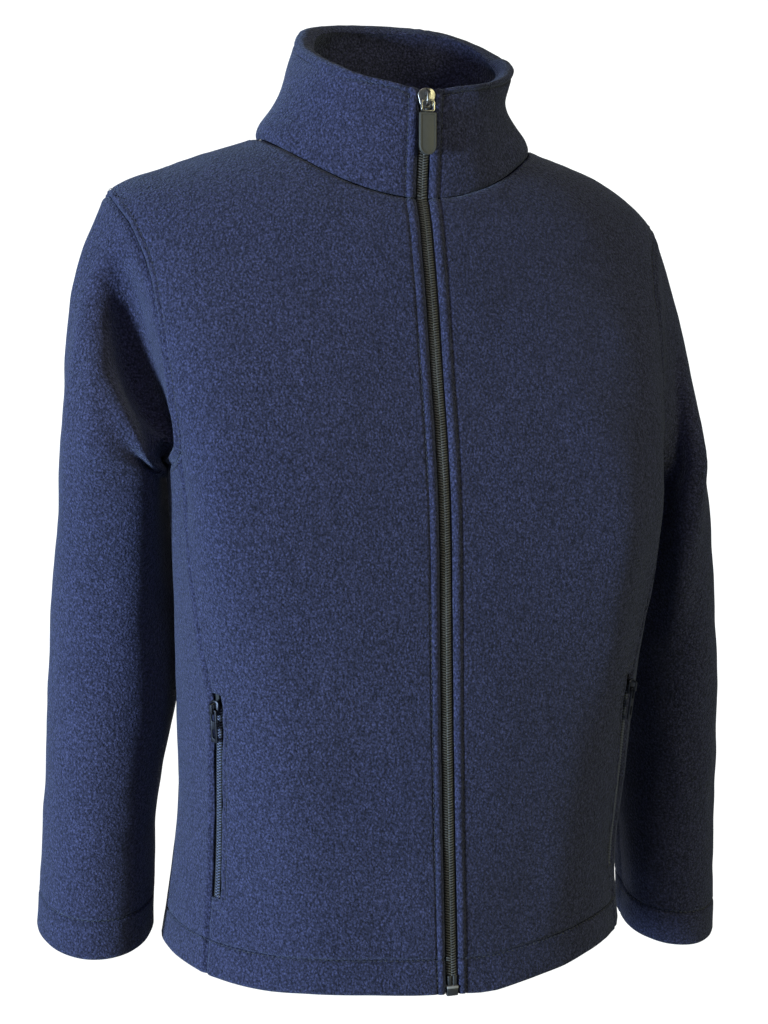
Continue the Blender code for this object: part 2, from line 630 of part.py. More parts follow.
def combine(name, frame, solids, finish, cuts=(), origin=None):
    """One closed body from solids of a frame, joined and then cut."""
    origin = (0, 0, 0) if origin is None else origin
    base = add_object(name, frame.world(solids[0][0]), solids[0][1], finish, False, origin)
    others = [(shape, "UNION") for shape in solids[1:]] + [(shape, "DIFFERENCE") for shape in cuts]
    tools = []
    for (vertices, faces), operation in others:
        tool = add_object(f"{name}_tool", frame.world(vertices), faces, finish, False)
        change = base.modifiers.new("join", "BOOLEAN")
        change.operation, change.solver, change.object = operation, "EXACT", tool
        tools.append(tool)
    bpy.context.view_layer.update()
    result = base.evaluated_get(bpy.context.evaluated_depsgraph_get())
    mesh = bpy.data.meshes.new_from_object(result)
    base.modifiers.clear()
    base.data = mesh
    for tool in tools:
        bpy.data.objects.remove(tool, do_unlink=True)
    mesh.materials.clear()
    mesh.materials.append(bpy.data.materials[name])
    return base


def slider_solids(half, length, back, reach):
    """A slider: its front plate, its post, its back plate and the crown that holds the pull."""
    top = reach + 0.6
    head, cut = length / 2, length / 2 - 1.2
    front = [
        (-half * 0.8, -head), (half * 0.8, -head), (half, 0), (half, cut),
        (half - 1.2, head), (1.2 - half, head), (-half, cut), (-half, 0),
    ]
    post = [(-0.55, 1.0), (0.55, 1.0), (0.55, head - 1), (-0.55, head - 1)]
    rear = [(x * min(0.85, 3.7 / half), t) for x, t in front]
    crown = [
        (-3.8, 1.2), (-2.75, 1.2), (-2.75, top - 0.9), (2.75, top - 0.9), (2.75, 1.2),
        (3.8, 1.2), (3.6, top - 0.8), (2.8, top), (-2.8, top), (-3.6, top - 0.8),
    ]
    return [
        prism(front, 0.3, 1.6), prism(post, back - 0.4, 0.6), prism(rear, back - 1.3, back),
        prism(crown, -1.1, 1.1, axis=0),
    ]


CROWN_HEIGHT = 4.5  # of the crown's top above the cloth, less its rounding
PIVOT = (0.0, -1.4, 2.9)  # the middle of a pull's bar, in its slider's frame


def front_grid(torso_level, collar_level, x):
    """Points and normals near the centre front, with x for each row and column."""
    count = len(torso_level)
    parts = []
    pairs = ((TORSO, torso_level, x[:count]), (COLLAR, collar_level, x[count:]))
    for surface, level, across in pairs:
        angle = surface.angle_at(across, level[:, None])
        parts.append((surface.points(angle, level[:, None]), surface.normals(angle, level[:, None])))
    return tuple(np.concatenate(pair) for pair in zip(*parts))


def front_frame(surface, level):
    """The frame of a place on the centre front."""
    line = surface.points(0.0, level + np.array([-2e-3, 0, 2e-3]))
    return Frame(line, surface.normals(0.0, level))


def add_front_zip():
    """The tapes, the closed coil, the slider and the box at the foot."""
    collar = np.linspace(0, 1, COLLAR_ROWS + 1)
    neck = TORSO.level(NECK_FRONT - np.array([1.4, 0.3]), "front_z")
    for side, sign in SIDES.items():
        torso = side_of_front(side)[0][:-1]
        torso = np.concatenate([[TORSO.level(HEM_FRONT + 3, "front_z")], torso[1:], neck])
        above = np.concatenate([[0.02], collar[1:-1], [0.97]])
        is_torso = np.arange(len(torso) + len(above)) < len(torso) - 1
        reach = np.where(is_torso, TAPE_TORSO, TAPE_COLLAR)
        share = np.linspace(0, 1, 4)
        x = sign * (TAPE_EDGE + (reach[:, None] - TAPE_EDGE) * share)
        points, normals = front_grid(torso, above, x)
        depth = np.where(np.arange(len(points)) < 2, TURNED, CLOTH)[:, None, None] + 0.3
        add_layer(f"zip_tape_{side}", points, normals, depth, depth + TAPE_THICK, TAPE_BLACK)
    box = front_frame(TORSO, TORSO.level(HEM_FRONT + BOX_HEIGHT / 2 + 1, "front_z"))
    outline = rounded(BOX_HALF, -BOX_HEIGHT / 2, BOX_HEIGHT / 2, 1.2)
    combine("zip_box", box, [prism(outline, -2.6, 0.5)], NICKEL)
    slider_level = COLLAR.level(SLIDER_Z, "front_z")
    frame = front_frame(COLLAR, slider_level)
    combine("zip_slider", frame, slider_solids(5.2, 12.0, -4.4, CROWN_HEIGHT), NICKEL)
    foot = TORSO.level(HEM_FRONT + BOX_HEIGHT + 1.4, "front_z")
    rows = side_of_front("right")[0]
    torso = np.concatenate([[foot], rows[(rows > foot + 0.004) & (rows < 0.995)], neck[1:]])
    top = COLLAR.level(SLIDER_Z + 0.6, "front_z")
    above = np.concatenate([collar[(collar > 0.05) & (collar < top - 0.04)], [top]])
    x = np.broadcast_to(np.array([-CHAIN_HALF, 0, CHAIN_HALF]), (len(torso) + len(above), 3))
    points, normals = front_grid(torso, above, x)
    add_layer("zip_chain", points, normals, CHAIN_INSET, CHAIN_INSET + CHAIN_THICK, COIL_BLACK)
    add_front_pull(frame)


def ring_prism(outer, inner, low, high, axis=1):
    """An outline with a hole in it, drawn out along an axis; both have the same corners."""
    count = len(outer)
    loops = ((outer, low), (inner, low), (inner, high), (outer, high))
    vertices = [np.insert(np.asarray(p, float), axis, at) for loop, at in loops for p in loop]
    index = np.arange(4 * count).reshape(4, count)
    index = np.concatenate([index, index[:1]])
    return np.array(vertices), grid_faces(np.concatenate([index, index[:, :1]], axis=1))


def add_front_pull(frame):
    """The metal link that hangs from the crown, and the rubber tab below it."""
    pivot = frame.world(PIVOT)
    outer, hole = rounded(4.7, -6.9, 0.65, 1.7), rounded(3.4, -5.7, -0.65, 0.9)
    vertices, faces = ring_prism(outer, hole, -0.65, 0.65)
    add_object("front_pull_link", vertices + pivot, faces, NICKEL, False, pivot)
    vertices, faces = prism(rounded(5.6, -33.6, -7.2, 0.8, 5.5), -1.1, 1.1, axis=1)
    add_object("front_pull_tab", vertices + pivot, faces, RUBBER_GREY, False, pivot)


def pocket_grid(side, levels, widths):
    """Points and normals along a pocket zip, this far in front of the princess seam."""
    seam = seam_angle(PRINCESS, side, levels)[:, None]
    angle = forward(side, levels[:, None], seam, np.asarray(widths, float)[None])
    angle = SIDES[side] * angle
    return TORSO.points(angle, levels[:, None]), TORSO.normals(angle, levels[:, None])


def add_pocket_zip(side):
    """A pocket zip's tapes, coil, slider and pull."""
    middle = POCKET_SLOT / 2
    levels = TORSO.level(np.linspace(POCKET_FOOT - 4, POCKET_TOP + 4, 17))
    for name, low, high in (("side", -6.0, middle - TAPE_EDGE), ("front", middle + TAPE_EDGE, 14.5)):
        points, normals = pocket_grid(side, levels, np.linspace(low, high, 4))
        add_layer(f"pocket_tape_{name}_{side}", points, normals, *POCKET_TAPE, TAPE_BLACK)
    slider_level = float(TORSO.level(POCKET_SLIDER_Z))
    levels = TORSO.level(np.linspace(POCKET_FOOT + 1, POCKET_SLIDER_Z + 0.6, 15))
    widths = middle + np.array([-POCKET_CHAIN_HALF, 0, POCKET_CHAIN_HALF])
    points, normals = pocket_grid(side, levels, widths)
    add_layer(f"pocket_chain_{side}", points, normals, 0.5, 2.1, COIL_BLACK)
    line, normals = pocket_grid(side, slider_level + np.array([-2e-3, 0, 2e-3]), [middle])
    frame = Frame(line[:, 0], normals[1, 0])
    combine(f"pocket_slider_{side}", frame, slider_solids(3.3, 9.6, -4.9, CROWN_HEIGHT), NICKEL)
    pivot = frame.world(PIVOT)
    body = prism(rounded(2.75, -21.0, 0.65, 0.6), -0.6, 0.6)
    holes = (rounded(1.5, -7.0, -0.65, 0.3), rounded(1.3, -18.5, -12.0, 1.2))
    cuts = [prism(hole, -2, 2) for hole in holes]
    hang = Frame(line[:, 0], normals[1, 0])
    hang.origin = pivot
    combine(f"pocket_pull_{side}", hang, [body], NICKEL, cuts, pivot)


def main():
    """Build the jacket."""
    for old in list(bpy.data.objects):
        bpy.data.objects.remove(old, do_unlink=True)
    for side in SIDES:
        add_front(side)
        add_side(side)
        add_sleeve(side)
        add_pocket_zip(side)
    add_back()
    add_collar()
    add_front_zip()


if __name__ == "__main__":
    main()
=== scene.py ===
"""The finish of a child's fleece zip jacket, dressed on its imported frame.

Each piece of cloth is a thin shell on the form of its solid: a grid of points taken from the same
ring surfaces (torso, sleeves, collar), with its hem, cuff or rim turned in, its seams and rows of
stitching drawn in, and its creases pressed in. Sizes and tables are in millimetres and degrees;
the meshes are in metres, +Z up, with the wearer facing -Y.
"""

import json
import logging
import math
from dataclasses import dataclass, field
from enum import Enum
from typing import Dict, List, Optional, Sequence, Tuple, Union

import bmesh
import bpy
import numpy as np
from mathutils import Matrix, Vector, noise

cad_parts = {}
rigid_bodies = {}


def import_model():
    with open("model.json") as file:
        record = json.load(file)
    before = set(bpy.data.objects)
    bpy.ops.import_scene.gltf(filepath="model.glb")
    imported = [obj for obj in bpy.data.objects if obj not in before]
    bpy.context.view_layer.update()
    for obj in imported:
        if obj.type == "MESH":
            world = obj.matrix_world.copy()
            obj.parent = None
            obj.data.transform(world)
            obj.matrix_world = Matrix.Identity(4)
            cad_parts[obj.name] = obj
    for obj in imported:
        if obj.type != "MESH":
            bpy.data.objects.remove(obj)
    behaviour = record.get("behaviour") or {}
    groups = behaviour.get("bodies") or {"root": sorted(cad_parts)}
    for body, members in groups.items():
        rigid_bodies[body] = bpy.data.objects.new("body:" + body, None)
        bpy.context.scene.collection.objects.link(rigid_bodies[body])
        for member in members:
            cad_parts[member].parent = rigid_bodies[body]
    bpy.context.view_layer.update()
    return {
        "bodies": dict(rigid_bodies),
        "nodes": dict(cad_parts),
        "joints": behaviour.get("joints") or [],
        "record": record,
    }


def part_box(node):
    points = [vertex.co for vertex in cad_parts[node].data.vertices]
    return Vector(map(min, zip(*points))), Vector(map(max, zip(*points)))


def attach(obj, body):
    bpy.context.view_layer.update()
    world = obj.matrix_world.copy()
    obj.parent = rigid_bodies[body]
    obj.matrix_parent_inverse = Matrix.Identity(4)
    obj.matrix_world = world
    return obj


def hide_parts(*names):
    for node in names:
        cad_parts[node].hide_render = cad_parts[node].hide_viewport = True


Array = np.ndarray
Rows = Sequence[Sequence[float]]
LOG = logging.getLogger("jacket")
MM = 0.001
BODY = "jacket"  # the body that every fixed piece rides on


class Side(Enum):
    """The wearer's right and left, with the sign of their x."""

    RIGHT = -1
    LEFT = 1

    @property
    def label(self) -> str:
        """The side's word in the names of nodes and pieces."""
        return self.name.lower()


# ---------------------------------------------------------------------------------------------
# Sizes that the solids and the finish share, in millimetres.
CLOTH = 2.2  # thickness of one layer of the shell
FOLD = 2.2  # radius of a turned edge, so that two layers are 4.4 thick
SEAM_GAP = 0.3
FRONT_EDGE = 4.3  # from the centre line to the folded edge of each front
# Heights, and how far the stitching along the zip lies from the centre line there.
FRONT_STITCH = ((-540, 9.6), (-100, 10.9), (0, 11.4), (60, 11.6))
HEM_TOP, HEM_FRONT = -510.0, -539.0
CUFF_HEIGHT = 25.0
RIM_STITCH = 6.5  # below the collar's rim, along the cloth
POCKET_TOP, POCKET_FOOT, POCKET_SLOT = -348.0, -483.0, 9.2
POCKET_SLIDER_Z, SLIDER_Z = -357.0, 23.8

RING_COLUMNS = (
    "half_width", "side_y", "side_z", "front_y", "front_z", "back_y", "back_z",
    "boxy_front", "boxy_back", "sway", "tilt",
)
TORSO_ROWS = (
    # half_width side_y side_z front_y front_z back_y back_z boxy_front boxy_back sway tilt
    (159.5, 2, -531, -127, -539, 104, -531, 0.02, 0.02, -1, 0.01),
    (155, 0, -500, -124, -506, 101, -498, 0.02, 0.02, 0, 0.005),
    (154, -6, -430, -119, -436, 98, -428, 0.03, 0.0, 5, 0.0),
    (158, -12, -350, -114, -357, 96, -348, 0.05, -0.02, 7, 0.0),
    (162, -20, -280, -111, -287, 97, -276, 0.08, -0.03, 8, 0.0),
    (166, -23, -215, -106, -221, 101, -207, 0.09, -0.04, 8, 0.0),
    (176, -16, -150, -95, -166, 103, -140, 0.06, -0.02, 6, -0.01),
    (188, -4, -85, -85, -122, 100, -80, 0.02, 0.0, 1, -0.03),
    (189, 4, -48.5, -79, -96, 92, -48, -0.01, 0.0, -1.5, -0.045),
    (163, 5, -29, -73, -74, 80, -24, 0.0, 0.0, 0, -0.023),
    (124, 4, -13, -67, -55, 66, -4, 0.0, 0.0, 0, -0.014),
    (93, 2, -4, -61, -42, 54, 10, 0.0, 0.0, 0, -0.018),
)
COLLAR_RINGS = (
    # half_width side_y side_z front_y front_z back_y back_z boxy_front boxy_back sway tilt
    (93, 2, -4, -61, -42, 54, 10, 0.0, 0.0, 0, -0.018),
    (91, 1.5, 4, -61.5, -33, 52.5, 19, 0.0, 0.0, 0, -0.02),
    (83.5, 0.5, 14, -63, -20, 50.5, 33, 0.0, 0.0, 0, -0.02),
    (76, -1, 28.5, -65.5, -2, 48.5, 51, 0.01, 0.01, 0.7, -0.021),
    (74.2, -2, 43.5, -67, 15, 46.5, 67.5, 0.02, 0.02, 3.0, -0.022),
    (74.2, -2, 57.3, -68, 31, 45, 81.5, 0.02, 0.03, 4.3, -0.022),
)
SEAM_COLUMNS = ("height", "right", "left")
PRINCESS_ROWS = (
    (-534, 62.5, 58), (-500, 64, 58), (-430, 65, 57.5), (-383, 63.5, 56.5), (-347, 62, 55),
    (-316, 65, 57), (-291, 68, 59.5), (-267, 71, 62.5), (-242, 73, 66), (-217, 73, 69),
    (-198, 71.5, 71.5),
)
BACK_SEAM_ROWS = ((-534, 118, 118), (-430, 120, 120), (-280, 120, 120), (-200, 117, 117))
ARMHOLE_ROWS = (
    # angle height
    (90, -48), (76, -55), (70, -63), (66.5, -77), (65, -95), (65.5, -117), (67, -145),
    (68.5, -173), (71.5, -198), (79, -207), (92, -211), (106, -209), (117, -200), (121, -175),
    (122.5, -145), (122, -115), (119, -88), (113, -68), (103, -55),
)
FRONT_CORNER, BACK_CORNER = 8, 12  # the rows where the princess and back seams meet it
SLEEVE_COLUMNS = ("out", "y", "z", "half_out", "half_y", "turn", "slope_out", "slope_y")
SLEEVE_ROWS = {
    Side.RIGHT: (
        # out y z half_out half_y turn slope_out slope_y
        (186.8, 12, -205, 31.2, 62, 20, 0.4, 0.05),
        (182.2, 26, -250, 36.3, 60, 26, 0.15, 0.05),
        (182, 36, -300, 40.8, 57, 28, 0.1, 0.05),
        (185, 37, -365, 42.6, 53, 22, 0.05, 0.08),
        (193, 36, -420, 38.9, 50, 12, 0.03, 0.12),
        (197, 36, -470, 37.8, 48, 6, 0.0, 0.16),
        (200, 36, -526.5, 39.5, 48, 4, 0.0, 0.2),
    ),
    Side.LEFT: (
        # out y z half_out half_y turn slope_out slope_y
        (197, 14, -222, 26, 62, 4, 0.4, 0.05),
        (201, 19, -270, 34.5, 58, 6, 0.2, 0.05),
        (209.5, 24, -325, 34.5, 54, 8, 0.1, 0.08),
        (216.5, 28, -385, 35, 50, 8, 0.05, 0.1),
        (219.5, 30, -440, 35, 48, 6, 0.03, 0.12),
        (220, 30, -500, 34.5, 46, 4, 0.0, 0.15),
        (221.5, 30, -563, 34.5, 46, 4, 0.0, 0.15),
    ),
}

# Creases: lines of places with the depth they are pressed in (a minus is raised) and their
# width. Round is in degrees from a sleeve's outer side forwards, or from the centre front.
FOLD_COLUMNS = ("round", "along", "depth", "width")
SLEEVE_DEGREE = 0.84  # of cloth for each degree round a sleeve
TORSO_DEGREE = 2.35  # of cloth for each degree round the torso
SLEEVE_FOLDS = {
    Side.RIGHT: (
        ((34, -84, 0, 11), (47, -78, 9, 14), (62, -73, 16, 16), (82, -69, 20, 17),
         (102, -67, 21, 17), (122, -65, 19, 16), (142, -62, 11, 15), (164, -56, 0, 12)),
        ((80, -56, 0, 9), (102, -43, -4, 10), (128, -36, -6, 10), (150, -33, -6, 9),
         (170, -32, -5, 9), (192, -30, 0, 9)),
        ((318, -78, 0, 10), (298, -66, 6, 13), (270, -58, 9, 14), (240, -52, 6, 13),
         (215, -46, 0, 12)),
    ),
    Side.LEFT: (
        ((60, -66, 0, 10), (88, -52, 5, 13), (108, -30, 9, 15), (124, 2, 10, 16),
         (130, 40, 8, 15), (142, 90, 4, 14), (150, 130, 0, 12)),
        ((62, -34, 0, 9), (73, -4, -3.5, 11), (94, 44, -4, 11), (114, 92, -2.5, 11),
         (124, 120, 0, 10)),
        ((318, -70, 0, 10), (292, -58, 6, 13), (262, -50, 9, 14), (235, -42, 6, 13),
         (212, -36, 0, 12)),
    ),
}
COLLAR_DEGREE = 1.2  # of cloth for each degree round the collar
COLLAR_CREASES = (
    # degrees from the centre front, distance below the rim, depth, width
    ((158, 0, 0, 6), (156, 14, 2.2, 7), (154, 32, 2.6, 8), (150, 52, 0, 8)),
    ((208, 6, 0, 7), (212, 24, -1.6, 9), (216, 44, 0, 9)),
    ((36, 40, 0, 8), (44, 52, 1.4, 9), (56, 60, 1.2, 9), (66, 62, 0, 8)),
    ((296, 44, 0, 8), (306, 56, 1.6, 9), (320, 62, 1.2, 9), (332, 60, 0, 8)),
)
# How far the front's hem is drawn up, by the distance from the centre line.
HEM_WAVE = ((-140, 0), (-112, 0.6), (-92, 2.0), (-52, 2.0), (-26, 0.6), (-4, -0.4), (8, -1.4),
            (18, -2.7), (30, -2.9), (46, -1.4), (62, 0), (82, 1.2), (100, 3.2), (120, 3.6),
            (140, 2.0), (154, 0))
# Softer creases that only the shell carries.
SLEEVE_CREASES = {
    Side.RIGHT: (
        ((36, -88, 0, 8), (46, -82, 4, 9), (58, -76, 7, 10), (84, -71, 8, 10), (104, -69, 9, 10),
         (126, -67, 8, 10), (146, -64, 4, 9), (160, -63, 4.5, 9), (172, -62, 4.5, 9),
         (184, -62, 0, 9)),
        ((170, -42, -2.5, 12), (190, -38, -6.5, 15), (206, -24, -6.5, 16), (214, 0, -5.0, 16),
         (218, 34, 0, 16)),
        ((184, -38, 0, 10), (174, -30, -3.5, 12), (160, -18, -6.0, 15), (146, 2, -8.0, 18),
         (137, 30, -9.0, 19), (132, 70, -7.5, 19), (128, 120, -4.5, 18), (124, 170, 0, 16)),
        ((20, -70, 0, 8), (36, -40, -1.2, 9), (52, 10, -1.6, 10), (60, 60, -1.0, 10), (66, 100, 0, 9)),
        ((300, 120, 0, 9), (268, 138, 1.8, 9), (236, 150, 2.2, 10), (206, 156, 0, 9)),
        ((310, 182, 0, 9), (280, 192, 1.2, 9), (246, 196, 1.8, 9), (214, 192, 0, 9)),
        ((120, 190, 0, 9), (96, 214, 1.0, 10), (70, 232, 0, 9)),
    ),
    Side.LEFT: (
        ((296, 138, 0, 9), (264, 152, 1.8, 9), (232, 164, 2.2, 10), (204, 170, 0, 9)),
        ((306, 200, 0, 9), (272, 208, 1.4, 9), (240, 214, 1.6, 9), (208, 210, 0, 9)),
        ((40, 150, 0, 9), (52, 190, 1.0, 9), (58, 240, 1.2, 9), (60, 290, 0, 9)),
        ((128, 180, 0, 9), (112, 215, -1.2, 10), (98, 250, 0, 9)),
        ((196, 225, 0, 20), (196, 275, 3.8, 24), (197, 318, 5.2, 26), (198, 352, 3.6, 26)),
    ),
}
TORSO_CREASES = (
    ((-18, -300, 0, 18), (-17, -380, 1.8, 20), (-15, -450, 2.2, 20), (-14, -522, 1.2, 18)),
    ((-36, -290, 0, 20), (-38, -370, -1.6, 22), (-36, -450, -2.0, 22), (-33, -525, -1.0, 20)),
    ((26, -110, 0, 14), (31, -180, -1.4, 15), (37, -250, -2.0, 17), (41, -330, -1.2, 18),
     (42, -400, 0, 18)),
    ((46, -150, 0, 14), (49, -210, 1.4, 16), (51, -280, 1.8, 17), (51, -350, 0, 17)),
    ((22, -320, 0, 18), (20, -400, 1.3, 20), (19, -470, 1.8, 20), (18, -525, 1.0, 18)),
    ((-52, -120, 0, 13), (-54, -165, 1.2, 14), (-57, -205, 1.6, 15), (-60, -250, 0, 15)),
    ((168, -180, 0, 18), (164, -270, 2.2, 20), (161, -360, 2.6, 22), (158, -450, 1.6, 22),
     (156, -520, 0.8, 20)),
    ((198, -210, 0, 18), (199, -300, 1.8, 20), (202, -390, 2.2, 22), (205, -480, 1.2, 20),
     (206, -520, 0.6, 20)),
    ((134, -150, 0, 13), (140, -205, 1.8, 15), (147, -260, 2.2, 17), (152, -320, 0, 17)),
    ((226, -155, 0, 13), (219, -215, 2.0, 15), (213, -275, 2.2, 17), (209, -330, 0, 17)),
    ((-69, -165, 0, 12), (-71, -198, 2.2, 13), (-73, -230, 2.6, 15), (-75, -285, 0, 16)),
    ((180, -120, 0, 22), (181, -220, -1.6, 24), (182, -330, -2.0, 26), (182, -450, -1.2, 26),
     (182, -520, 0, 24)),
)


def table(columns: Sequence[str], rows: Rows) -> Dict[str, Array]:
    """Return the rows of a table as a dictionary of columns."""
    return {name: np.array([row[i] for row in rows], float) for i, name in enumerate(columns)}


def unit(vectors: Array) -> Array:
    """Return the vectors scaled to a length of one."""
    return vectors / np.linalg.norm(vectors, axis=-1, keepdims=True)


def lengths_along(points: Array) -> Array:
    """Return the distance from a line's first point to each of its points."""
    steps = np.linalg.norm(np.diff(points, axis=0), axis=-1)
    return np.concatenate([[0.0], np.cumsum(steps)])


def evenly(points: Array, count: int) -> Array:
    """Return the places, counted in points, that divide a line into equal lengths."""
    lengths = lengths_along(points)
    return np.interp(np.linspace(0, lengths[-1], count + 1), lengths, np.arange(len(lengths)))


def at_places(values: Array, places: Array) -> Array:
    """Return the values of a line of points at places counted in points."""
    flat = values.reshape(len(values), -1)
    index = np.arange(len(values))
    picked = [np.interp(places, index, flat[:, k]) for k in range(flat.shape[1])]
    return np.stack(picked, axis=-1).reshape(len(places), *values.shape[1:])


class Spline:
    """A natural cubic spline through named columns, one value of each for every station."""

    def __init__(self, stations: Array, columns: Dict[str, Array]) -> None:
        """Solve for the curve's bends at the stations."""
        self.stations = np.asarray(stations, float)
        self.columns = columns
        step = np.diff(self.stations)
        count = len(self.stations)
        system = np.eye(count)
        for i in range(1, count - 1):
            system[i, i - 1 : i + 2] = (step[i - 1], 2 * (step[i - 1] + step[i]), step[i])
        self.bends = {}
        for name, values in columns.items():
            right = np.zeros(count)
            right[1:-1] = 6 * np.diff(np.diff(values) / step)
            self.bends[name] = np.linalg.solve(system, right)

    def __call__(self, name: str, at: Array) -> Array:
        """Return the value of a column at each station in at."""
        at = np.asarray(at, float)
        i = np.clip(np.searchsorted(self.stations, at) - 1, 0, len(self.stations) - 2)
        low, high = self.stations[i], self.stations[i + 1]
        a, b = (high - at) / (high - low), (at - low) / (high - low)
        values, bend = self.columns[name], self.bends[name]
        curve = ((a**3 - a) * bend[i] + (b**3 - b) * bend[i + 1]) * (high - low) ** 2 / 6
        return a * values[i] + b * values[i + 1] + curve


class RingSurface:
    """A surface through rings. Angle 0 is the centre front, and +pi/2 the wearer's left side."""

    def __init__(self, rows: Rows, plane: float = 0.0, dip: Tuple[float, float] = (0.0, 1.0)) -> None:
        """Take the rings of a table.

        Args:
            rows: The rings, from the lowest.
            plane: How flat the last ring is; at 1 it lies in a plane.
            dip: How far the last ring dips at the centre front, and half the width of the dip.
        """
        self.plane, self.dip = plane, dip
        columns = table(RING_COLUMNS, rows)
        side = np.stack([columns["half_width"], columns["side_y"], columns["side_z"]])
        front = np.stack([columns["front_y"], columns["front_z"]])
        steps = np.linalg.norm(np.diff(side), axis=0) + np.linalg.norm(np.diff(front), axis=0)
        stations = np.concatenate([[0], np.cumsum(steps)])
        self.spline = Spline(stations / stations[-1], columns)

    def level(self, height: Array, column: str = "side_z") -> Array:
        """Return the level of the ring with this height at its sides, or at its front."""
        levels = np.linspace(0, 1, 2001)
        return np.interp(height, self.spline(column, levels), levels)

    def points(self, angle: Array, level: Array) -> Array:
        """Return the surface's points. Level 0 is the first row and 1 the last."""
        angle, level = np.broadcast_arrays(np.asarray(angle, float), np.asarray(level, float))
        row = {name: self.spline(name, level) for name in RING_COLUMNS}
        cos, sin = np.cos(angle), np.sin(angle)
        is_front = cos > 0
        boxy = np.where(is_front, row["boxy_front"], row["boxy_back"])
        depth = np.where(is_front, row["side_y"] - row["front_y"], row["back_y"] - row["side_y"])
        rise = np.where(is_front, row["front_z"], row["back_z"]) - row["side_z"]
        x = row["half_width"] * (sin + boxy * np.sin(3 * angle)) / (1 - boxy)
        x = x + row["sway"] * sin**2
        y = row["side_y"] - depth * (cos - boxy * np.cos(3 * angle)) / (1 - boxy)
        bend = np.abs(cos) ** (2 - self.plane * level)
        lowest, spread = self.dip
        notch = lowest * level**2 * np.exp(-((x / spread) ** 2)) * is_front
        z = row["side_z"] + rise * bend + row["tilt"] * x - notch
        return np.stack([x, y, z], axis=-1)

    def normals(self, angle: Array, level: Array) -> Array:
        """Return the directions out of the surface."""
        low, high = np.clip(level - 1e-3, 0, 1), np.clip(level + 1e-3, 0, 1)
        around = self.points(angle + 1e-3, level) - self.points(angle - 1e-3, level)
        return unit(np.cross(around, self.points(angle, high) - self.points(angle, low)))

    def angle_at(self, x: Array, level: Array) -> Array:
        """Return the angle at which the front of a ring is x from the centre line."""
        boxy = self.spline("boxy_front", level)
        return x * (1 - boxy) / (self.spline("half_width", level) * (1 + 3 * boxy))


TORSO = RingSurface(TORSO_ROWS)
COLLAR = RingSurface(COLLAR_RINGS, plane=1.0, dip=(5.5, 16.0))
PRINCESS = table(SEAM_COLUMNS, PRINCESS_ROWS)
BACK_SEAM = table(SEAM_COLUMNS, BACK_SEAM_ROWS)


def seam_angle(seam: Dict[str, Array], side: Side, level: Array) -> Array:
    """Return the angle of a long seam at each level, without its sign."""
    heights = TORSO.spline("side_z", level)
    return np.radians(Spline(seam["height"], {"angle": seam[side.label]})("angle", heights))


def armhole(side: Side, steps: Tuple[int, int, int]) -> Tuple[List[Array], List[Array]]:
    """Divide an armhole into its front, underarm and back runs.

    Args:
        side: the side of the jacket.
        steps: how many equal steps each run has.

    Returns:
        The angles (without their sign) and the levels of each run.
    """
    rows = np.array(ARMHOLE_ROWS + ARMHOLE_ROWS[:1], float)
    chords = np.linalg.norm(np.diff(rows, axis=0) * (2.2, 1), axis=1)
    stations = np.concatenate([[0], np.cumsum(chords)])
    padded = np.vstack([rows[-4:-1], rows, rows[1:4]])
    before, after = stations[-4:-1] - stations[-1], stations[1:4] + stations[-1]
    around = np.concatenate([before, stations, after])
    curve = Spline(around, {"angle": padded[:, 0], "height": padded[:, 1]})
    corners = (0, FRONT_CORNER, BACK_CORNER, len(ARMHOLE_ROWS))
    angles, levels = [], []
    for first, last, count in zip(corners[:-1], corners[1:], steps):
        dense = np.linspace(stations[first], stations[last], 401)
        angle = np.radians(curve("angle", dense))
        level = TORSO.level(curve("height", dense))
        places = evenly(TORSO.points(side.value * angle, level), count)
        angles.append(np.interp(places, np.arange(401), angle))
        levels.append(np.interp(places, np.arange(401), level))
    return angles, levels


def pressed(folds: Sequence[Rows], turn: Array, along: Array, degree: float) -> Array:
    """Work out how far folds press in.

    Args:
        folds: lines of places, in the order of FOLD_COLUMNS.
        turn: the degrees round of each place.
        along: the other coordinate of each place.
        degree: the length of cloth for each degree.

    Returns:
        The depth at each place, in millimetres.
    """
    turn, along = np.broadcast_arrays(turn, along)
    depth = np.zeros(turn.shape)
    for rows in folds:
        line = table(FOLD_COLUMNS, rows)
        places = np.linspace(0, len(rows) - 1, 10 * len(rows))
        line = {name: np.interp(places, np.arange(len(rows)), line[name]) for name in line}
        across = (turn[..., None] - line["round"]) * degree
        away = across**2 + (along[..., None] - line["along"]) ** 2
        nearest = away.argmin(axis=-1)
        near = np.take_along_axis(away, nearest[..., None], axis=-1)[..., 0]
        depth += line["depth"][nearest] * np.exp(-near / line["width"][nearest] ** 2)
    return depth


def distance(points: Array, line: Array) -> Array:
    """Return the distance from each point to a line of points."""
    flat = points.reshape(-1, 3)
    start, run = line[:-1], np.diff(line, axis=0)
    size = np.maximum(np.sum(run**2, axis=1), 1e-9)
    result = np.empty(len(flat))
    for first in range(0, len(flat), 2048):
        part = flat[first : first + 2048, None]
        share = np.clip(np.sum((part - start) * run, axis=-1) / size, 0, 1)
        gap = part - start - share[..., None] * run
        result[first : first + 2048] = np.sqrt(np.sum(gap**2, axis=-1).min(axis=1))
    return result.reshape(points.shape[:-1])


def rumple(points: Array, size: float, depth: float) -> Array:
    """Return a soft, uneven lift of the cloth, about size across and depth high."""
    flat = points.reshape(-1, 3) / size
    values = [noise.noise(Vector(p)) for p in flat]
    return np.array(values).reshape(points.shape[:-1]) * depth


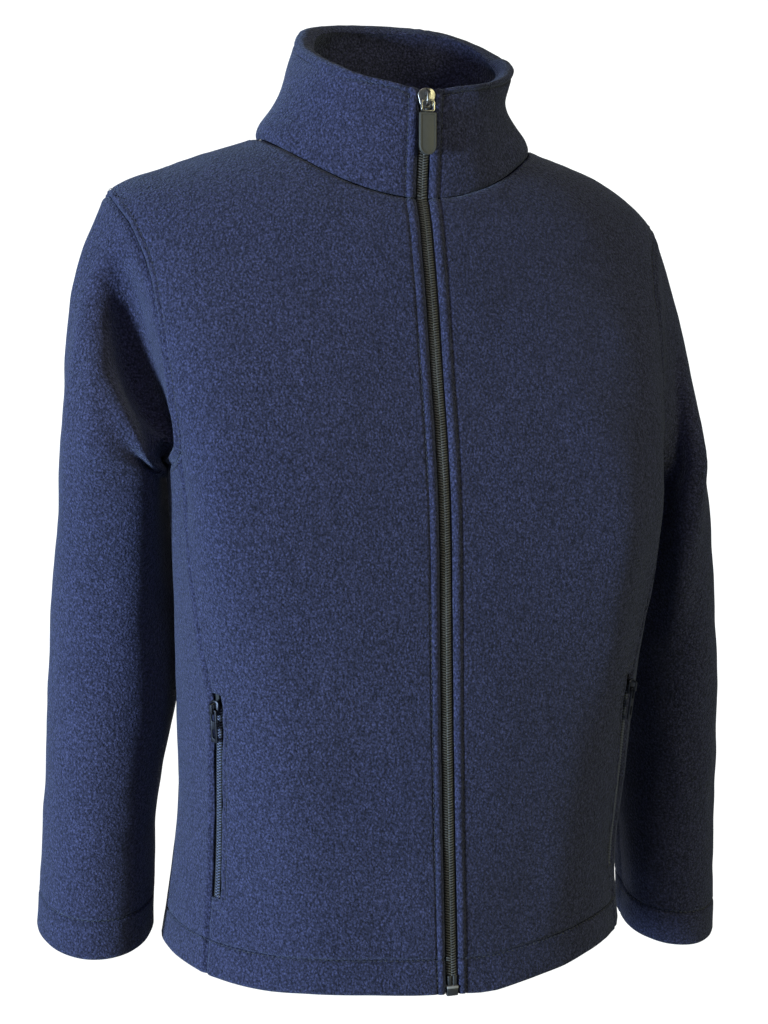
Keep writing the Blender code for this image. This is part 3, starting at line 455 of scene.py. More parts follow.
# ---------------------------------------------------------------------------------------------
# Sewing that shapes the cloth.
@dataclass(frozen=True)
class Sewing:
    """How the cloth lies beside a sewn line.

    The edge is rolled in at a seam, a row of stitching pulls a groove, and the cloth between
    the two stands up over the seam allowance.
    """

    roll: float = 0.0
    stitch_at: float = 0.0
    groove: float = 0.0
    puff: float = 0.0
    roll_width: float = 1.2

    def shift(self, away: Array) -> Array:
        """Return how far the cloth moves out, for its distance from the line."""
        moved = -self.roll * np.exp(-((away / self.roll_width) ** 2))
        moved = moved - self.groove * np.exp(-(((away - self.stitch_at) / 0.75) ** 2))
        if self.puff:
            middle, spread = self.stitch_at * 0.52, self.stitch_at * 0.42
            moved = moved + self.puff * np.exp(-(((away - middle) / spread) ** 2))
        return moved


PLAIN_SEAM = Sewing(roll=1.7, stitch_at=8.0, puff=0.45, roll_width=1.9)
TOPSTITCHED_SEAM = Sewing(roll=1.6, stitch_at=4.6, groove=0.8, puff=0.6, roll_width=1.5)
STITCHED_LINE = Sewing(groove=2.3)
FRONT_FOLD = Sewing(roll=1.3, stitch_at=6.0, groove=1.15, puff=1.1)
NECK_SEAM = Sewing(roll=0.6, stitch_at=8.0, puff=0.35, roll_width=1.8)
POCKET_FOLD = Sewing(roll=1.3, stitch_at=4.5, groove=0.7, puff=0.5)
NEAR_STEPS = (0.0, 0.5, 1.0, 1.6, 2.3, 3.0, 3.7, 4.4, 5.0, 5.6, 6.2, 6.8, 7.5, 8.4, 10.0)


def zip_stitch(height: Array) -> Array:
    """Return how far from the centre line the stitching along the zip lies."""
    return np.interp(height, *np.transpose(FRONT_STITCH))


def hem_wave(points: Array) -> Array:
    """Return how far the hem is drawn up, at points of the torso."""
    wave = np.interp(points[..., 0], *np.transpose(HEM_WAVE)) * (points[..., 1] < 0)
    return wave * np.exp(-(((points[..., 2] + 536) / 40) ** 2))


def zip_fold(points: Array) -> Array:
    """Return how far the folded edges along the zip move out, at points of the front."""
    away = (np.abs(points[..., 0]) - FRONT_EDGE) * FRONT_FOLD.stitch_at
    away = away / (zip_stitch(points[..., 2]) - FRONT_EDGE)
    return FRONT_FOLD.shift(away + 1e3 * (points[..., 1] > 0))


@dataclass
class Sheet:
    """A grid of points on the right side of the cloth, with the directions out of it."""

    points: Array
    normals: Array
    closed: bool = False

    def turned(self, rows: int, last: bool = False, fold_radius: float = FOLD,
               bead: Union[float, Array] = 0.0) -> "Sheet":
        """Turn an edge in, over so many rows, with a round fold.

        Args:
            rows: how many rows of the inner layer there are.
            last: whether the turned edge is the last row and not the first.
            fold_radius: the radius of the fold.
            bead: how much rounder the fold is than the layers behind it, at each column.

        Returns:
            A new sheet with the fold and the inner layer added.
        """
        points = self.points[::-1] if last else self.points
        normals = self.normals[::-1] if last else self.normals
        down = unit(points[0] - points[1])
        fold = []
        for angle in np.radians((150, 120, 90, 60, 30)):
            sink = normals[0] * (fold_radius + bead) * (1 - math.cos(angle))
            fold.append(points[0] - sink + down * (fold_radius + bead) * math.sin(angle))
        reach = np.linalg.norm(points - points[0], axis=-1, keepdims=True)
        radius = fold_radius + bead * np.exp(-((reach / 7.5) ** 2))
        inner = (points - normals * 2 * radius)[: rows + 1][::-1]
        joined = np.concatenate([inner, np.stack(fold), points])
        facing = np.concatenate([-normals[: rows + 1][::-1], -normals[:1].repeat(5, 0), normals])
        if last:
            return Sheet(joined[::-1], facing[::-1], self.closed)
        return Sheet(joined, facing, self.closed)


def cloth_piece(name: str, sheet: Sheet, thickness: float = CLOTH) -> bpy.types.Object:
    """Make a piece of cloth from a sheet.

    Args:
        name: the piece's name.
        sheet: its right side.
        thickness: of the cloth, laid inwards.

    Returns:
        The new object, a thin shell.
    """
    rows, columns = sheet.points.shape[:2]
    shape = bmesh.new()
    bmesh.ops.create_grid(shape, x_segments=columns - 1, y_segments=rows - 1, size=1.0)
    places = sheet.points * MM
    for vertex in shape.verts:
        column = round((vertex.co.x + 1) / 2 * (columns - 1))
        row = round((vertex.co.y + 1) / 2 * (rows - 1))
        vertex.co = places[row, column]
    if sheet.closed:
        bmesh.ops.remove_doubles(shape, verts=shape.verts, dist=1e-6)
    shape.normal_update()
    shape.faces.ensure_lookup_table()
    middle = shape.faces[(rows // 2) * (columns - 1) + columns // 2]
    wanted = sheet.normals[rows // 2, columns // 2]
    if middle.normal.dot(Vector(wanted)) < 0:
        bmesh.ops.reverse_faces(shape, faces=shape.faces)
    for face in shape.faces:
        face.smooth = True
    made = finished(name, shape)
    solid = made.modifiers.new("cloth", "SOLIDIFY")
    solid.thickness, solid.offset = thickness * MM, -1.0
    return made


def finished(name: str, shape: bmesh.types.BMesh) -> bpy.types.Object:
    """Turn a bmesh into an object of the scene, and free it."""
    mesh = bpy.data.meshes.new(name)
    shape.to_mesh(mesh)
    shape.free()
    made = bpy.data.objects.new(name, mesh)
    bpy.context.scene.collection.objects.link(made)
    return made


def arrayed(name: str, shape: bmesh.types.BMesh, origins: Array, axes: Array) -> bpy.types.Object:
    """Copy one small shape to many places as a single mesh.

    Args:
        name: the piece's name.
        shape: the shape, in millimetres; it is freed.
        origins: where each copy goes.
        axes: the three axes of each copy.

    Returns:
        The new object.
    """
    shape.verts.index_update()
    corners = np.array([vertex.co for vertex in shape.verts])
    faces = [[vertex.index for vertex in face.verts] for face in shape.faces]
    shape.free()
    points = origins[:, None] + np.einsum("vk,nkc->nvc", corners, axes)
    count = len(corners)
    mirrored = np.linalg.det(axes) < 0  # their faces are turned to point outwards
    copies = [[i + n * count for i in (face[::-1] if mirrored[n] else face)]
              for n in range(len(origins)) for face in faces]
    mesh = bpy.data.meshes.new(name)
    mesh.from_pydata((points.reshape(-1, 3) * MM).tolist(), [], copies)
    mesh.polygons.foreach_set("use_smooth", [True] * len(copies))
    made = bpy.data.objects.new(name, mesh)
    bpy.context.scene.collection.objects.link(made)
    return made


def dress(piece: bpy.types.Object, material: bpy.types.Material, slot: str, *nodes: str,
          body: str = BODY) -> bpy.types.Object:
    """Give a piece its finish, its body and the nodes that it stands for.

    Args:
        piece: the new object.
        material: its finish.
        slot: the record's slot of that finish; not used.
        nodes: the solids that it replaces.
        body: the body that it rides on.

    Returns:
        The same piece.
    """
    piece.data.materials.clear()
    piece.data.materials.append(material)
    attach(piece, body)
    if nodes:
        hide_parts(*nodes)
    return piece


# ---------------------------------------------------------------------------------------------
# Finishes.
class Shader:
    """The node tree of one material, built up in order."""

    def __init__(self, name: str) -> None:
        """Start a material with its Principled shader."""
        self.material = bpy.data.materials.new(name)
        self.material.use_nodes = True
        self.tree = self.material.node_tree
        self.surface = self.tree.nodes["Principled BSDF"]
        self.place = self.add("ShaderNodeTexCoord").outputs["Object"]

    def add(self, kind: str, **values: object) -> bpy.types.Node:
        """Add a node and set its properties."""
        node = self.tree.nodes.new(kind)
        for key, value in values.items():
            setattr(node, key, value)
        return node

    def link(self, source: bpy.types.NodeSocket, target: bpy.types.NodeSocket) -> None:
        """Join two sockets."""
        self.tree.links.new(source, target)

    def set(self, **values: object) -> None:
        """Set constant sockets of the surface; an underscore stands for a space."""
        for key, value in values.items():
            self.surface.inputs[key.replace("_", " ")].default_value = value

    def noise(self, scale: float, detail: float = 2.0, roughness: float = 0.5,
              stretch: Optional[Tuple[float, float, float]] = None) -> bpy.types.NodeSocket:
        """Add noise on the object's own coordinates.

        Args:
            scale: how many features there are in a metre.
            detail: how many finer layers it has.
            roughness: how strong the finer layers are.
            stretch: scale along each axis, or none.

        Returns:
            The noise's value.
        """
        texture = self.add("ShaderNodeTexNoise")
        texture.inputs["Scale"].default_value = scale
        texture.inputs["Detail"].default_value = detail
        texture.inputs["Roughness"].default_value = roughness
        place = self.place
        if stretch:
            mapping = self.add("ShaderNodeMapping")
            mapping.inputs["Scale"].default_value = stretch
            self.link(self.place, mapping.inputs["Vector"])
            place = mapping.outputs["Vector"]
        self.link(place, texture.inputs["Vector"])
        return texture.outputs["Fac"]

    def pebbles(self, scale: float) -> bpy.types.NodeSocket:
        """Add rounded cells, so many in a metre, and return the distance to their middles."""
        texture = self.add("ShaderNodeTexVoronoi", feature="SMOOTH_F1")
        texture.inputs["Scale"].default_value = scale
        texture.inputs["Smoothness"].default_value = 0.6
        self.link(self.place, texture.inputs["Vector"])
        return texture.outputs["Distance"]

    def ramp(self, value: bpy.types.NodeSocket, stops: Sequence[Tuple[float, Sequence[float]]]
             ) -> bpy.types.NodeSocket:
        """Turn a value into a colour through stops of (place, colour)."""
        node = self.add("ShaderNodeValToRGB")
        while len(node.color_ramp.elements) < len(stops):
            node.color_ramp.elements.new(0.5)
        for element, (place, colour) in zip(node.color_ramp.elements, stops):
            element.position = place
            element.color = (*colour, 1.0) if len(colour) == 3 else colour
        self.link(value, node.inputs["Fac"])
        return node.outputs["Color"]

    def multiply(self, first: bpy.types.NodeSocket, second: bpy.types.NodeSocket,
                 share: float) -> bpy.types.NodeSocket:
        """Multiply one colour by another, by a share."""
        node = self.add("ShaderNodeMix", data_type="RGBA", blend_type="MULTIPLY")
        node.inputs["Factor"].default_value = share
        self.link(first, node.inputs["A"])
        self.link(second, node.inputs["B"])
        return node.outputs["Result"]

    def bump(self, layers: Sequence[Tuple[bpy.types.NodeSocket, float, float]]) -> None:
        """Add bump layers of (height, distance in millimetres, strength), one on another."""
        normal = None
        for height, reach, strength in layers:
            node = self.add("ShaderNodeBump")
            node.inputs["Distance"].default_value = reach * MM
            node.inputs["Strength"].default_value = strength
            self.link(height, node.inputs["Height"])
            if normal:
                self.link(normal, node.inputs["Normal"])
            normal = node.outputs["Normal"]
        self.link(normal, self.surface.inputs["Normal"])


@dataclass(frozen=True)
class Fleece:
    """Microfleece with a short, pebbled nap."""

    colour: Tuple[float, float, float] = (0.0335, 0.0350, 0.081)
    nap_size: float = 1.3
    clump_size: float = 3.4

    def material(self) -> bpy.types.Material:
        """Build the nap's colour, with painted shade in its pits, and its sheen and relief."""
        shader = Shader("navy fleece")
        nap = shader.noise(1000 / self.nap_size, 4.0, 0.62)
        clumps = shader.noise(1000 / self.clump_size, 3.0, 0.6)
        cells = shader.pebbles(1000 / (self.nap_size * 1.25))
        patches = shader.noise(9.0, 2.0)
        dark = tuple(c * 0.42 for c in self.colour)
        light = tuple(c * 1.75 for c in self.colour)
        tone = shader.ramp(nap, ((0.36, dark), (0.5, self.colour), (0.64, light)))
        # Painted shade: the colour darkens to 0.40 towards the edges of the nap's cells, for the shade in
        # the pits between its pebbles.
        painted_pit_shade = shader.ramp(cells, ((0.30, (1.0,) * 3), (0.62, (0.40,) * 3)))
        clump_tone = shader.ramp(clumps, ((0.3, (0.72,) * 3), (0.7, (1.0,) * 3)))
        patch_tone = shader.ramp(patches, ((0.3, (0.86, 0.88, 0.92)), (0.7, (1.0, 1.0, 1.0))))
        colour = shader.multiply(tone, clump_tone, 0.7)
        colour = shader.multiply(colour, painted_pit_shade, 0.7)
        colour = shader.multiply(colour, patch_tone, 0.8)
        shader.link(colour, shader.surface.inputs["Base Color"])
        shader.set(Roughness=0.93, Specular_IOR_Level=0.15, Sheen_Weight=0.20,
                   Sheen_Roughness=0.42, Sheen_Tint=(0.50, 0.58, 0.80, 1.0))
        shader.bump(((clumps, 0.9, 0.5), (cells, 1.1, 0.7), (nap, 1.3, 1.0)))
        return shader.material


@dataclass(frozen=True)
class Woven:
    """The twill tape of a zip."""

    name: str = "zip tape"
    colour: Tuple[float, float, float] = (0.013, 0.014, 0.020)
    rib: float = 0.55

    def material(self) -> bpy.types.Material:
        """Build fine ribs across the tape."""
        shader = Shader(self.name)
        ribs = shader.add("ShaderNodeTexWave", bands_direction="DIAGONAL")
        ribs.inputs["Scale"].default_value = 1000 / self.rib / 6.283
        ribs.inputs["Distortion"].default_value = 0.6
        shader.link(shader.place, ribs.inputs["Vector"])
        threads = shader.noise(1800.0, 2.0)
        tone = shader.ramp(threads, ((0.3, tuple(c * 0.6 for c in self.colour)), (0.75, self.colour)))
        shader.link(tone, shader.surface.inputs["Base Color"])
        shader.set(Roughness=0.85, Sheen_Weight=0.15, Sheen_Roughness=0.4)
        shader.bump(((ribs.outputs["Fac"], 0.25, 0.6), (threads, 0.15, 0.5)))
        return shader.material


@dataclass(frozen=True)
class Nylon:
    """Moulded or drawn nylon."""

    name: str = "coil nylon"
    colour: Tuple[float, float, float] = (0.050, 0.048, 0.048)
    roughness: float = 0.34

    def material(self) -> bpy.types.Material:
        """Build a smooth plastic with slight flow marks."""
        shader = Shader(self.name)
        flow = shader.noise(420.0, 3.0)
        light = tuple(min(1.0, c * 1.5) for c in self.colour)
        tone = shader.ramp(flow, ((0.3, self.colour), (0.8, light)))
        shader.link(tone, shader.surface.inputs["Base Color"])
        rough = shader.ramp(flow, ((0.2, (self.roughness,) * 3), (0.9, (self.roughness + 0.14,) * 3)))
        shader.link(rough, shader.surface.inputs["Roughness"])
        shader.set(Specular_IOR_Level=0.55)
        shader.bump(((flow, 0.08, 0.35),))
        return shader.material


@dataclass(frozen=True)
class Nickel:
    """Cast zip metal with a satin nickel plating."""

    name: str = "satin nickel"
    colour: Tuple[float, float, float] = (0.23, 0.215, 0.21)
    roughness: float = 0.28

    def material(self) -> bpy.types.Material:
        """Build worn plating with fine brush marks."""
        shader = Shader(self.name)
        wear = shader.noise(260.0, 4.0, 0.6)
        brush = shader.noise(900.0, 2.0, 0.5, (1.0, 1.0, 0.12))
        dull = tuple(c * 0.62 for c in self.colour)
        tone = shader.ramp(wear, ((0.25, dull), (0.6, self.colour)))
        shader.link(tone, shader.surface.inputs["Base Color"])
        rough = shader.ramp(brush, ((0.2, (self.roughness,) * 3), (0.9, (self.roughness + 0.2,) * 3)))
        shader.link(rough, shader.surface.inputs["Roughness"])
        shader.set(Metallic=1.0)
        shader.bump(((brush, 0.03, 0.4), (wear, 0.06, 0.3)))
        return shader.material


@dataclass(frozen=True)
class Thread:
    """Spun polyester thread."""

    colour: Tuple[float, float, float] = (0.012, 0.014, 0.030)

    def material(self) -> bpy.types.Material:
        """Build a soft thread with a slight sheen."""
        shader = Shader("navy thread")
        twist = shader.noise(2600.0, 1.0)
        tone = shader.ramp(twist, ((0.3, tuple(c * 0.6 for c in self.colour)), (0.8, self.colour)))
        shader.link(tone, shader.surface.inputs["Base Color"])
        shader.set(Roughness=0.62, Sheen_Weight=0.2, Sheen_Roughness=0.3)
        shader.bump(((twist, 0.1, 0.5),))
        return shader.material


@dataclass(frozen=True)
class Paper:
    """The sweep under and behind the jacket, pale through its painted glow where the main view sees it.
    """

    colour: Tuple[float, float, float] = (0.93, 0.93, 0.93)
    glow: Tuple[float, float] = (0.03, 1.06)  # painted light, the paper's own glow: faint elsewhere, bright where the main view sees it
    view: Tuple[float, float] = (0.297, 0.955)  # the way that the camera looks, from above

    def material(self) -> bpy.types.Material:
        """Build a matt, dim paper with a faint mottle and a painted glow."""
        shader = Shader("pale paper")
        mottle = shader.noise(3.0, 1.0)
        tone = shader.ramp(mottle, ((0.0, tuple(c * 0.985 for c in self.colour)), (1.0, self.colour)))
        # The lit colour is kept dim; the paper's paleness comes from its painted glow.
        dim = shader.multiply(tone, shader.ramp(mottle, ((0.0, (0.22,) * 3), (1.0, (0.24,) * 3))), 1.0)
        shader.link(dim, shader.surface.inputs["Base Color"])
        shader.link(tone, shader.surface.inputs["Emission Color"])
        # Painted light: the glow is bright along the main view's direction behind the jacket and fades
        # towards the sides and the front.
        along = shader.add("ShaderNodeVectorMath", operation="DOT_PRODUCT")
        along.inputs[1].default_value = (self.view[0], self.view[1], 0.0)
        across = shader.add("ShaderNodeVectorMath", operation="DOT_PRODUCT")
        across.inputs[1].default_value = (self.view[1], -self.view[0], 0.0)
        aside = shader.add("ShaderNodeMath", operation="ABSOLUTE")
        beside = shader.add("ShaderNodeMath", operation="MULTIPLY_ADD")
        beside.inputs[1].default_value = -0.22
        shader.link(shader.place, along.inputs[0])
        shader.link(shader.place, across.inputs[0])
        shader.link(across.outputs["Value"], aside.inputs[0])
        shader.link(along.outputs["Value"], beside.inputs[0])
        shader.link(aside.outputs[0], beside.inputs[2])
        shares = []
        for value, low, high in ((along.outputs["Value"], 0.30, 0.80), (beside.outputs[0], 0.95, 0.42)):
            share = shader.add("ShaderNodeMapRange", interpolation_type="SMOOTHSTEP")
            share.inputs["From Min"].default_value, share.inputs["From Max"].default_value = low, high
            shader.link(value, share.inputs["Value"])
            shares.append(share.outputs["Result"])
        both = shader.add("ShaderNodeMath", operation="MULTIPLY")
        strength = shader.add("ShaderNodeMapRange")
        strength.inputs["To Min"].default_value, strength.inputs["To Max"].default_value = self.glow
        shader.link(shares[0], both.inputs[0])
        shader.link(shares[1], both.inputs[1])
        shader.link(both.outputs[0], strength.inputs["Value"])
        shader.link(strength.outputs["Result"], shader.surface.inputs["Emission Strength"])
        shader.set(Roughness=0.9, Specular_IOR_Level=0.1)
        return shader.material


@dataclass
class Finishes:
    """Every finish of the jacket, made once."""

    fleece: bpy.types.Material = field(default_factory=lambda: Fleece().material())
    tape: bpy.types.Material = field(default_factory=lambda: Woven().material())
    # The zip cord is near black and darker than the tape: partly its own black, partly painted shade for
    # the gaps between the coil's turns.
    cord: bpy.types.Material = field(
        default_factory=lambda: Woven("zip cord", (0.005, 0.005, 0.007)).material())
    coil: bpy.types.Material = field(default_factory=lambda: Nylon().material())
    navy_coil: bpy.types.Material = field(
        default_factory=lambda: Nylon("navy coil nylon", (0.055, 0.064, 0.115), 0.36).material())
    moulding: bpy.types.Material = field(
        default_factory=lambda: Nylon("grey moulding", (0.013, 0.013, 0.016), 0.42).material())
    pale_band: bpy.types.Material = field(
        default_factory=lambda: Nylon("pale band", (0.17, 0.16, 0.16), 0.5).material())
    nickel: bpy.types.Material = field(default_factory=lambda: Nickel().material())
    dark_nickel: bpy.types.Material = field(
        default_factory=lambda: Nickel("dark nickel", (0.058, 0.060, 0.078), 0.30).material())
    rubber: bpy.types.Material = field(
        default_factory=lambda: Nylon("grey rubber", (0.021, 0.020, 0.019), 0.52).material())
    thread: bpy.types.Material = field(default_factory=lambda: Thread().material())


# ---------------------------------------------------------------------------------------------
# The torso.
def spread(angle: Array, level: Array, near: bool, far: bool, middle: int
           ) -> Tuple[Array, Array]:
    """Place the columns of a panel, close together beside its sewn edges.

    Args:
        angle: dense angles across each row.
        level: dense levels across each row.
        near: whether the first column is at a sewn edge.
        far: whether the last column is.
        middle: how many wide columns there are between.

    Returns:
        The angle and the level of each point of the grid.
    """
    points = TORSO.points(angle, level)
    steps = np.linalg.norm(np.diff(points, axis=1), axis=-1)
    arc = np.concatenate([np.zeros((len(steps), 1)), np.cumsum(steps, axis=1)], axis=1)
    edge = np.array(NEAR_STEPS)
    angles, levels = [], []
    for row in range(len(arc)):
        width = arc[row, -1]
        start = edge if near else np.array([0.0])
        end = width - SEAM_GAP / 2 - (edge[::-1] if far else np.array([0.0]))
        wide = np.linspace(start[-1], end[0], middle + 1)[1:-1]
        place = np.concatenate([start, wide, end])
        angles.append(np.interp(place, arc[row], angle[row]))
        levels.append(np.interp(place, arc[row], level[row]))
    return np.array(angles), np.array(levels)


def close_heights(low: float, high: float, step: float, lines: Sequence[float]) -> Array:
    """Return heights from low to high, close together beside each of the given lines.

    Args:
        low: the first height.
        high: the last.
        step: the usual distance between rows.
        lines: heights of seams and stitching.

    Returns:
        Rising heights, none closer than a third of a millimetre.
    """
    near = np.array((-6.0, -4.0, -2.6, -1.6, -0.8, -0.31, 0.31, 0.8, 1.6, 2.6, 4.0, 6.0))
    count = max(2, round((high - low) / step))
    every = np.concatenate([np.linspace(low, high, count)] + [line + near for line in lines])
    every = np.unique(every[(every >= low) & (every <= high)])
    kept = [every[0]]
    for height in every[1:-1]:
        if height - kept[-1] > 0.6 and high - height > 0.6:
            kept.append(height)
        elif any(abs(abs(height - line) - 0.31) < 1e-6 for line in lines):
            kept.append(height)
    return np.array(kept + [every[-1]])


@dataclass
class TorsoPanels:
    """The fronts, the side panels and the back.

    Each row of a panel runs round the torso, from one sewn edge to the other.
    """

    row_step: float = 4.2
    front_columns: int = 24
    side_columns: int = 14
    back_columns: int = 52
    armhole_steps: Tuple[int, int, int] = (56, 34, 56)
    shoulder_steps: int = 34
    hem_rows: int = 6

    def long_levels(self, top: float) -> Array:
        """Return the levels of a panel's rows from the hem up to a level on its long seam."""
        foot = TORSO.level(np.array(-531.0 + FOLD))
        heights = TORSO.spline("side_z", np.array([foot, top]))
        lines = (HEM_TOP, POCKET_FOOT - 7.0, POCKET_FOOT, POCKET_TOP, POCKET_TOP + 7.0)
        rows = close_heights(float(heights[0]), float(heights[1]), self.row_step, lines)
        return TORSO.level(rows)

    def front_rows(self, side: Side) -> Tuple[Array, Array]:
        """Return the level of each row of a front and the angle of its sewn edge."""
        angles, levels = armhole(side, self.armhole_steps)
        long = self.long_levels(levels[0][-1])
        princess = seam_angle(PRINCESS, side, long)
        princess[-1] = angles[0][-1]
        shoulder = np.linspace(levels[0][0], 1, self.shoulder_steps + 1)[1:]
        level = np.concatenate([long, levels[0][-2::-1], shoulder])
        edge = np.concatenate([princess, angles[0][-2::-1], np.full(len(shoulder), math.pi / 2)])
        return level, edge

    def armhole_line(self, side: Side) -> Array:
        """Return the armhole seam as a closed line of points."""
        angles, levels = armhole(side, (80, 50, 80))
        angle, level = np.concatenate(angles), np.concatenate(levels)
        return TORSO.points(side.value * angle, level)

    def long_line(self, seam: Dict[str, Array], side: Side, corner: int) -> Array:
        """Return a long seam, up to its corner of the armhole, as a line of points."""
        _, levels = armhole(side, (8, 8, 8))
        top = levels[corner][-1] if corner == 0 else levels[1][-1]
        level = np.linspace(0, top, 160)
        return TORSO.points(side.value * seam_angle(seam, side, level), level)

    def shoulder_line(self, side: Side) -> Array:
        """Return the shoulder seam as a line of points."""
        _, levels = armhole(side, (8, 8, 8))
        return TORSO.points(side.value * math.pi / 2, np.linspace(levels[0][0], 1, 80))

    def neck_line(self) -> Array:
        """Return the neck seam as a line of points."""
        return TORSO.points(np.linspace(-math.pi, math.pi, 241), 1.0)

    def hem_line(self) -> Array:
        """Return the line of the hem's stitching."""
        return TORSO.points(np.linspace(-math.pi, math.pi, 361), TORSO.level(np.array(HEM_TOP)))

    def pocket_line(self, side: Side, inset: float = POCKET_FOLD.stitch_at) -> Array:
        """Return the stitching round a pocket zip, on the front.

        Args:
            side: the side of the jacket.
            inset: how far it is from the folded edge.

        Returns:
            A line of points from the seam at its top, down the zip, and back to the seam.
        """
        low, high = POCKET_FOOT - inset - 2.5, POCKET_TOP + inset + 1.0
        level = TORSO.level(np.linspace(high, low, 60))
        angle = forward(side, level, seam_angle(PRINCESS, side, level), POCKET_SLOT + inset)
        down = TORSO.points(side.value * angle, level)
        ends = []
        for at in (level[0], level[-1]):
            seam = seam_angle(PRINCESS, side, np.full(12, at))
            across = forward(side, np.full(12, at), seam, np.linspace(0.6, POCKET_SLOT + inset, 12))
            ends.append(TORSO.points(side.value * across, np.full(12, at)))
        return np.concatenate([ends[0][:-1], down, ends[1][::-1][1:]])

    def relief(self, points: Array, angle: Array, level: Array,
               lines: Sequence[Tuple[Array, Sewing]]) -> Array:
        """Work out how far each point of a panel moves out.

        Args:
            points: the panel's points on the torso.
            angle: their angles.
            level: their levels.
            lines: sewn lines and how the cloth lies beside them.

        Returns:
            The distance out of the surface, in millimetres.
        """
        turn = np.degrees(angle)
        height = TORSO.spline("side_z", level)
        out = -pressed(TORSO_CREASES, turn, height, TORSO_DEGREE)
        out += rumple(points, 46.0, 1.1) + rumple(points + 300.0, 17.0, 0.35)
        for line, sewing in lines:
            away = distance(points, line)
            out += sewing.shift(away)
            out += rumple(points + 90.0, 8.0, 0.5) * np.exp(-((away / 7.0) ** 2))
        return out

    def panel(self, name: str, angle: Array, level: Array, lines: Sequence[Tuple[Array, Sewing]],
              folded_front: bool = False) -> bpy.types.Object:
        """Make one panel from the places of its grid.

        Args:
            name: the piece's name.
            angle: the angle of each point.
            level: the level of each point.
            lines: the sewn lines that shape it.
            folded_front: whether it has a folded edge along the zip.

        Returns:
            The panel, with its hem turned in.
        """
        points, normals = TORSO.points(angle, level), TORSO.normals(angle, level)
        out = self.relief(points, angle, level, lines)
        if folded_front:
            out += zip_fold(points)
        middle = angle.shape[1] // 2
        heights = TORSO.spline("side_z", level[:, middle])
        rows = int(np.searchsorted(heights, HEM_TOP))
        moved = points + normals * out[..., None]
        moved[..., 2] += hem_wave(points)
        sheet = Sheet(moved, normals)
        return cloth_piece(name, sheet.turned(rows))

    def front(self, side: Side) -> bpy.types.Object:
        """Make one front, from the zip to the princess seam, the armhole and the shoulder."""
        level, edge = self.front_rows(side)
        low, high = TORSO.level(np.array([POCKET_FOOT, POCKET_TOP]))
        cut = (level > low) & (level < high)
        edge = np.where(cut, forward(side, level, edge, POCKET_SLOT), edge)
        first = TORSO.angle_at(FRONT_EDGE, level)
        share = np.linspace(0, 1, 161)
        dense = side.value * (first[:, None] + (edge - first)[:, None] * share)
        angle, levels = spread(dense, np.repeat(level[:, None], 161, 1), True, True,
                               self.front_columns)
        slot = TORSO.points(side.value * edge[cut], level[cut])
        lines = [
            (self.long_line(PRINCESS, side, 0), PLAIN_SEAM),
            (self.armhole_line(side), TOPSTITCHED_SEAM),
            (self.shoulder_line(side), PLAIN_SEAM),
            (self.neck_line(), NECK_SEAM),
            (self.hem_line(), STITCHED_LINE),
            (self.pocket_line(side), Sewing(groove=0.7)),
            (slot, Sewing(roll=1.2)),
        ]
        return self.panel(f"front_{side.label}_cloth", angle, levels, lines, True)

    def side(self, side: Side) -> bpy.types.Object:
        """Make one side panel, between the princess seam and the seam at the back."""
        angles, levels = armhole(side, (8, 160, 8))
        base = self.long_levels(levels[1][0])
        shares = (base - base[0]) / (base[-1] - base[0])
        level = base[0] + shares[:, None] * (levels[1] - base[0])
        princess = seam_angle(PRINCESS, side, level[:, 0])
        back = seam_angle(BACK_SEAM, side, level[:, -1])
        top = angles[1]
        princess[-1], back[-1] = top[0], top[-1]
        across = (top - top[0]) / (top[-1] - top[0])
        dense = side.value * (princess[:, None] + (back - princess)[:, None] * across)
        angle, levels = spread(dense, level, True, True, self.side_columns)
        lines = [
            (self.long_line(PRINCESS, side, 0), PLAIN_SEAM),
            (self.long_line(BACK_SEAM, side, 1), PLAIN_SEAM),
            (self.armhole_line(side), TOPSTITCHED_SEAM),
            (self.hem_line(), STITCHED_LINE),
        ]
        return self.panel(f"side_{side.label}_cloth", angle, levels, lines)

    def back_edge(self, side: Side) -> Tuple[Array, Array]:
        """Return the level and the angle of the back's edge at one side."""
        angles, levels = armhole(side, self.armhole_steps)
        base = self.long_levels(levels[0][-1])
        shares = (base - base[0]) / (base[-1] - base[0])
        long = base[0] + shares * (levels[1][-1] - base[0])
        seam = seam_angle(BACK_SEAM, side, long)
        seam[-1] = angles[1][-1]
        shoulder = np.linspace(levels[0][0], 1, self.shoulder_steps + 1)[1:]
        level = np.concatenate([long, levels[2][1:], shoulder])
        edge = np.concatenate([seam, angles[2][1:], np.full(len(shoulder), math.pi / 2)])
        return level, edge

    def back(self) -> bpy.types.Object:
        """Make the back, from one back seam round to the other and up to the neck."""
        left_level, left = (values[:, None] for values in self.back_edge(Side.LEFT))
        right_level, right = (values[:, None] for values in self.back_edge(Side.RIGHT))
        share = np.linspace(0, 1, 241)
        level = left_level + (right_level - left_level) * share
        dense = left + (2 * math.pi - right - left) * share
        angle, levels = spread(dense, level, True, True, self.back_columns)
        lines = [(self.neck_line(), PLAIN_SEAM), (self.hem_line(), STITCHED_LINE)]
        for side in Side:
            lines.append((self.long_line(BACK_SEAM, side, 1), PLAIN_SEAM))
            lines.append((self.armhole_line(side), TOPSTITCHED_SEAM))
            lines.append((self.shoulder_line(side), PLAIN_SEAM))
        return self.panel("back_cloth", angle, levels, lines)

    def build(self, finishes: Finishes) -> None:
        for side in Side:
            front = dress(self.front(side), finishes.fleece, "fleece", f"front_{side.label}")
            panel = dress(self.side(side), finishes.fleece, "fleece", f"side_{side.label}")
            LOG.info("dressed the %s front and side", side.label)
        back = dress(self.back(), finishes.fleece, "fleece", "back")
        LOG.info("dressed the back")


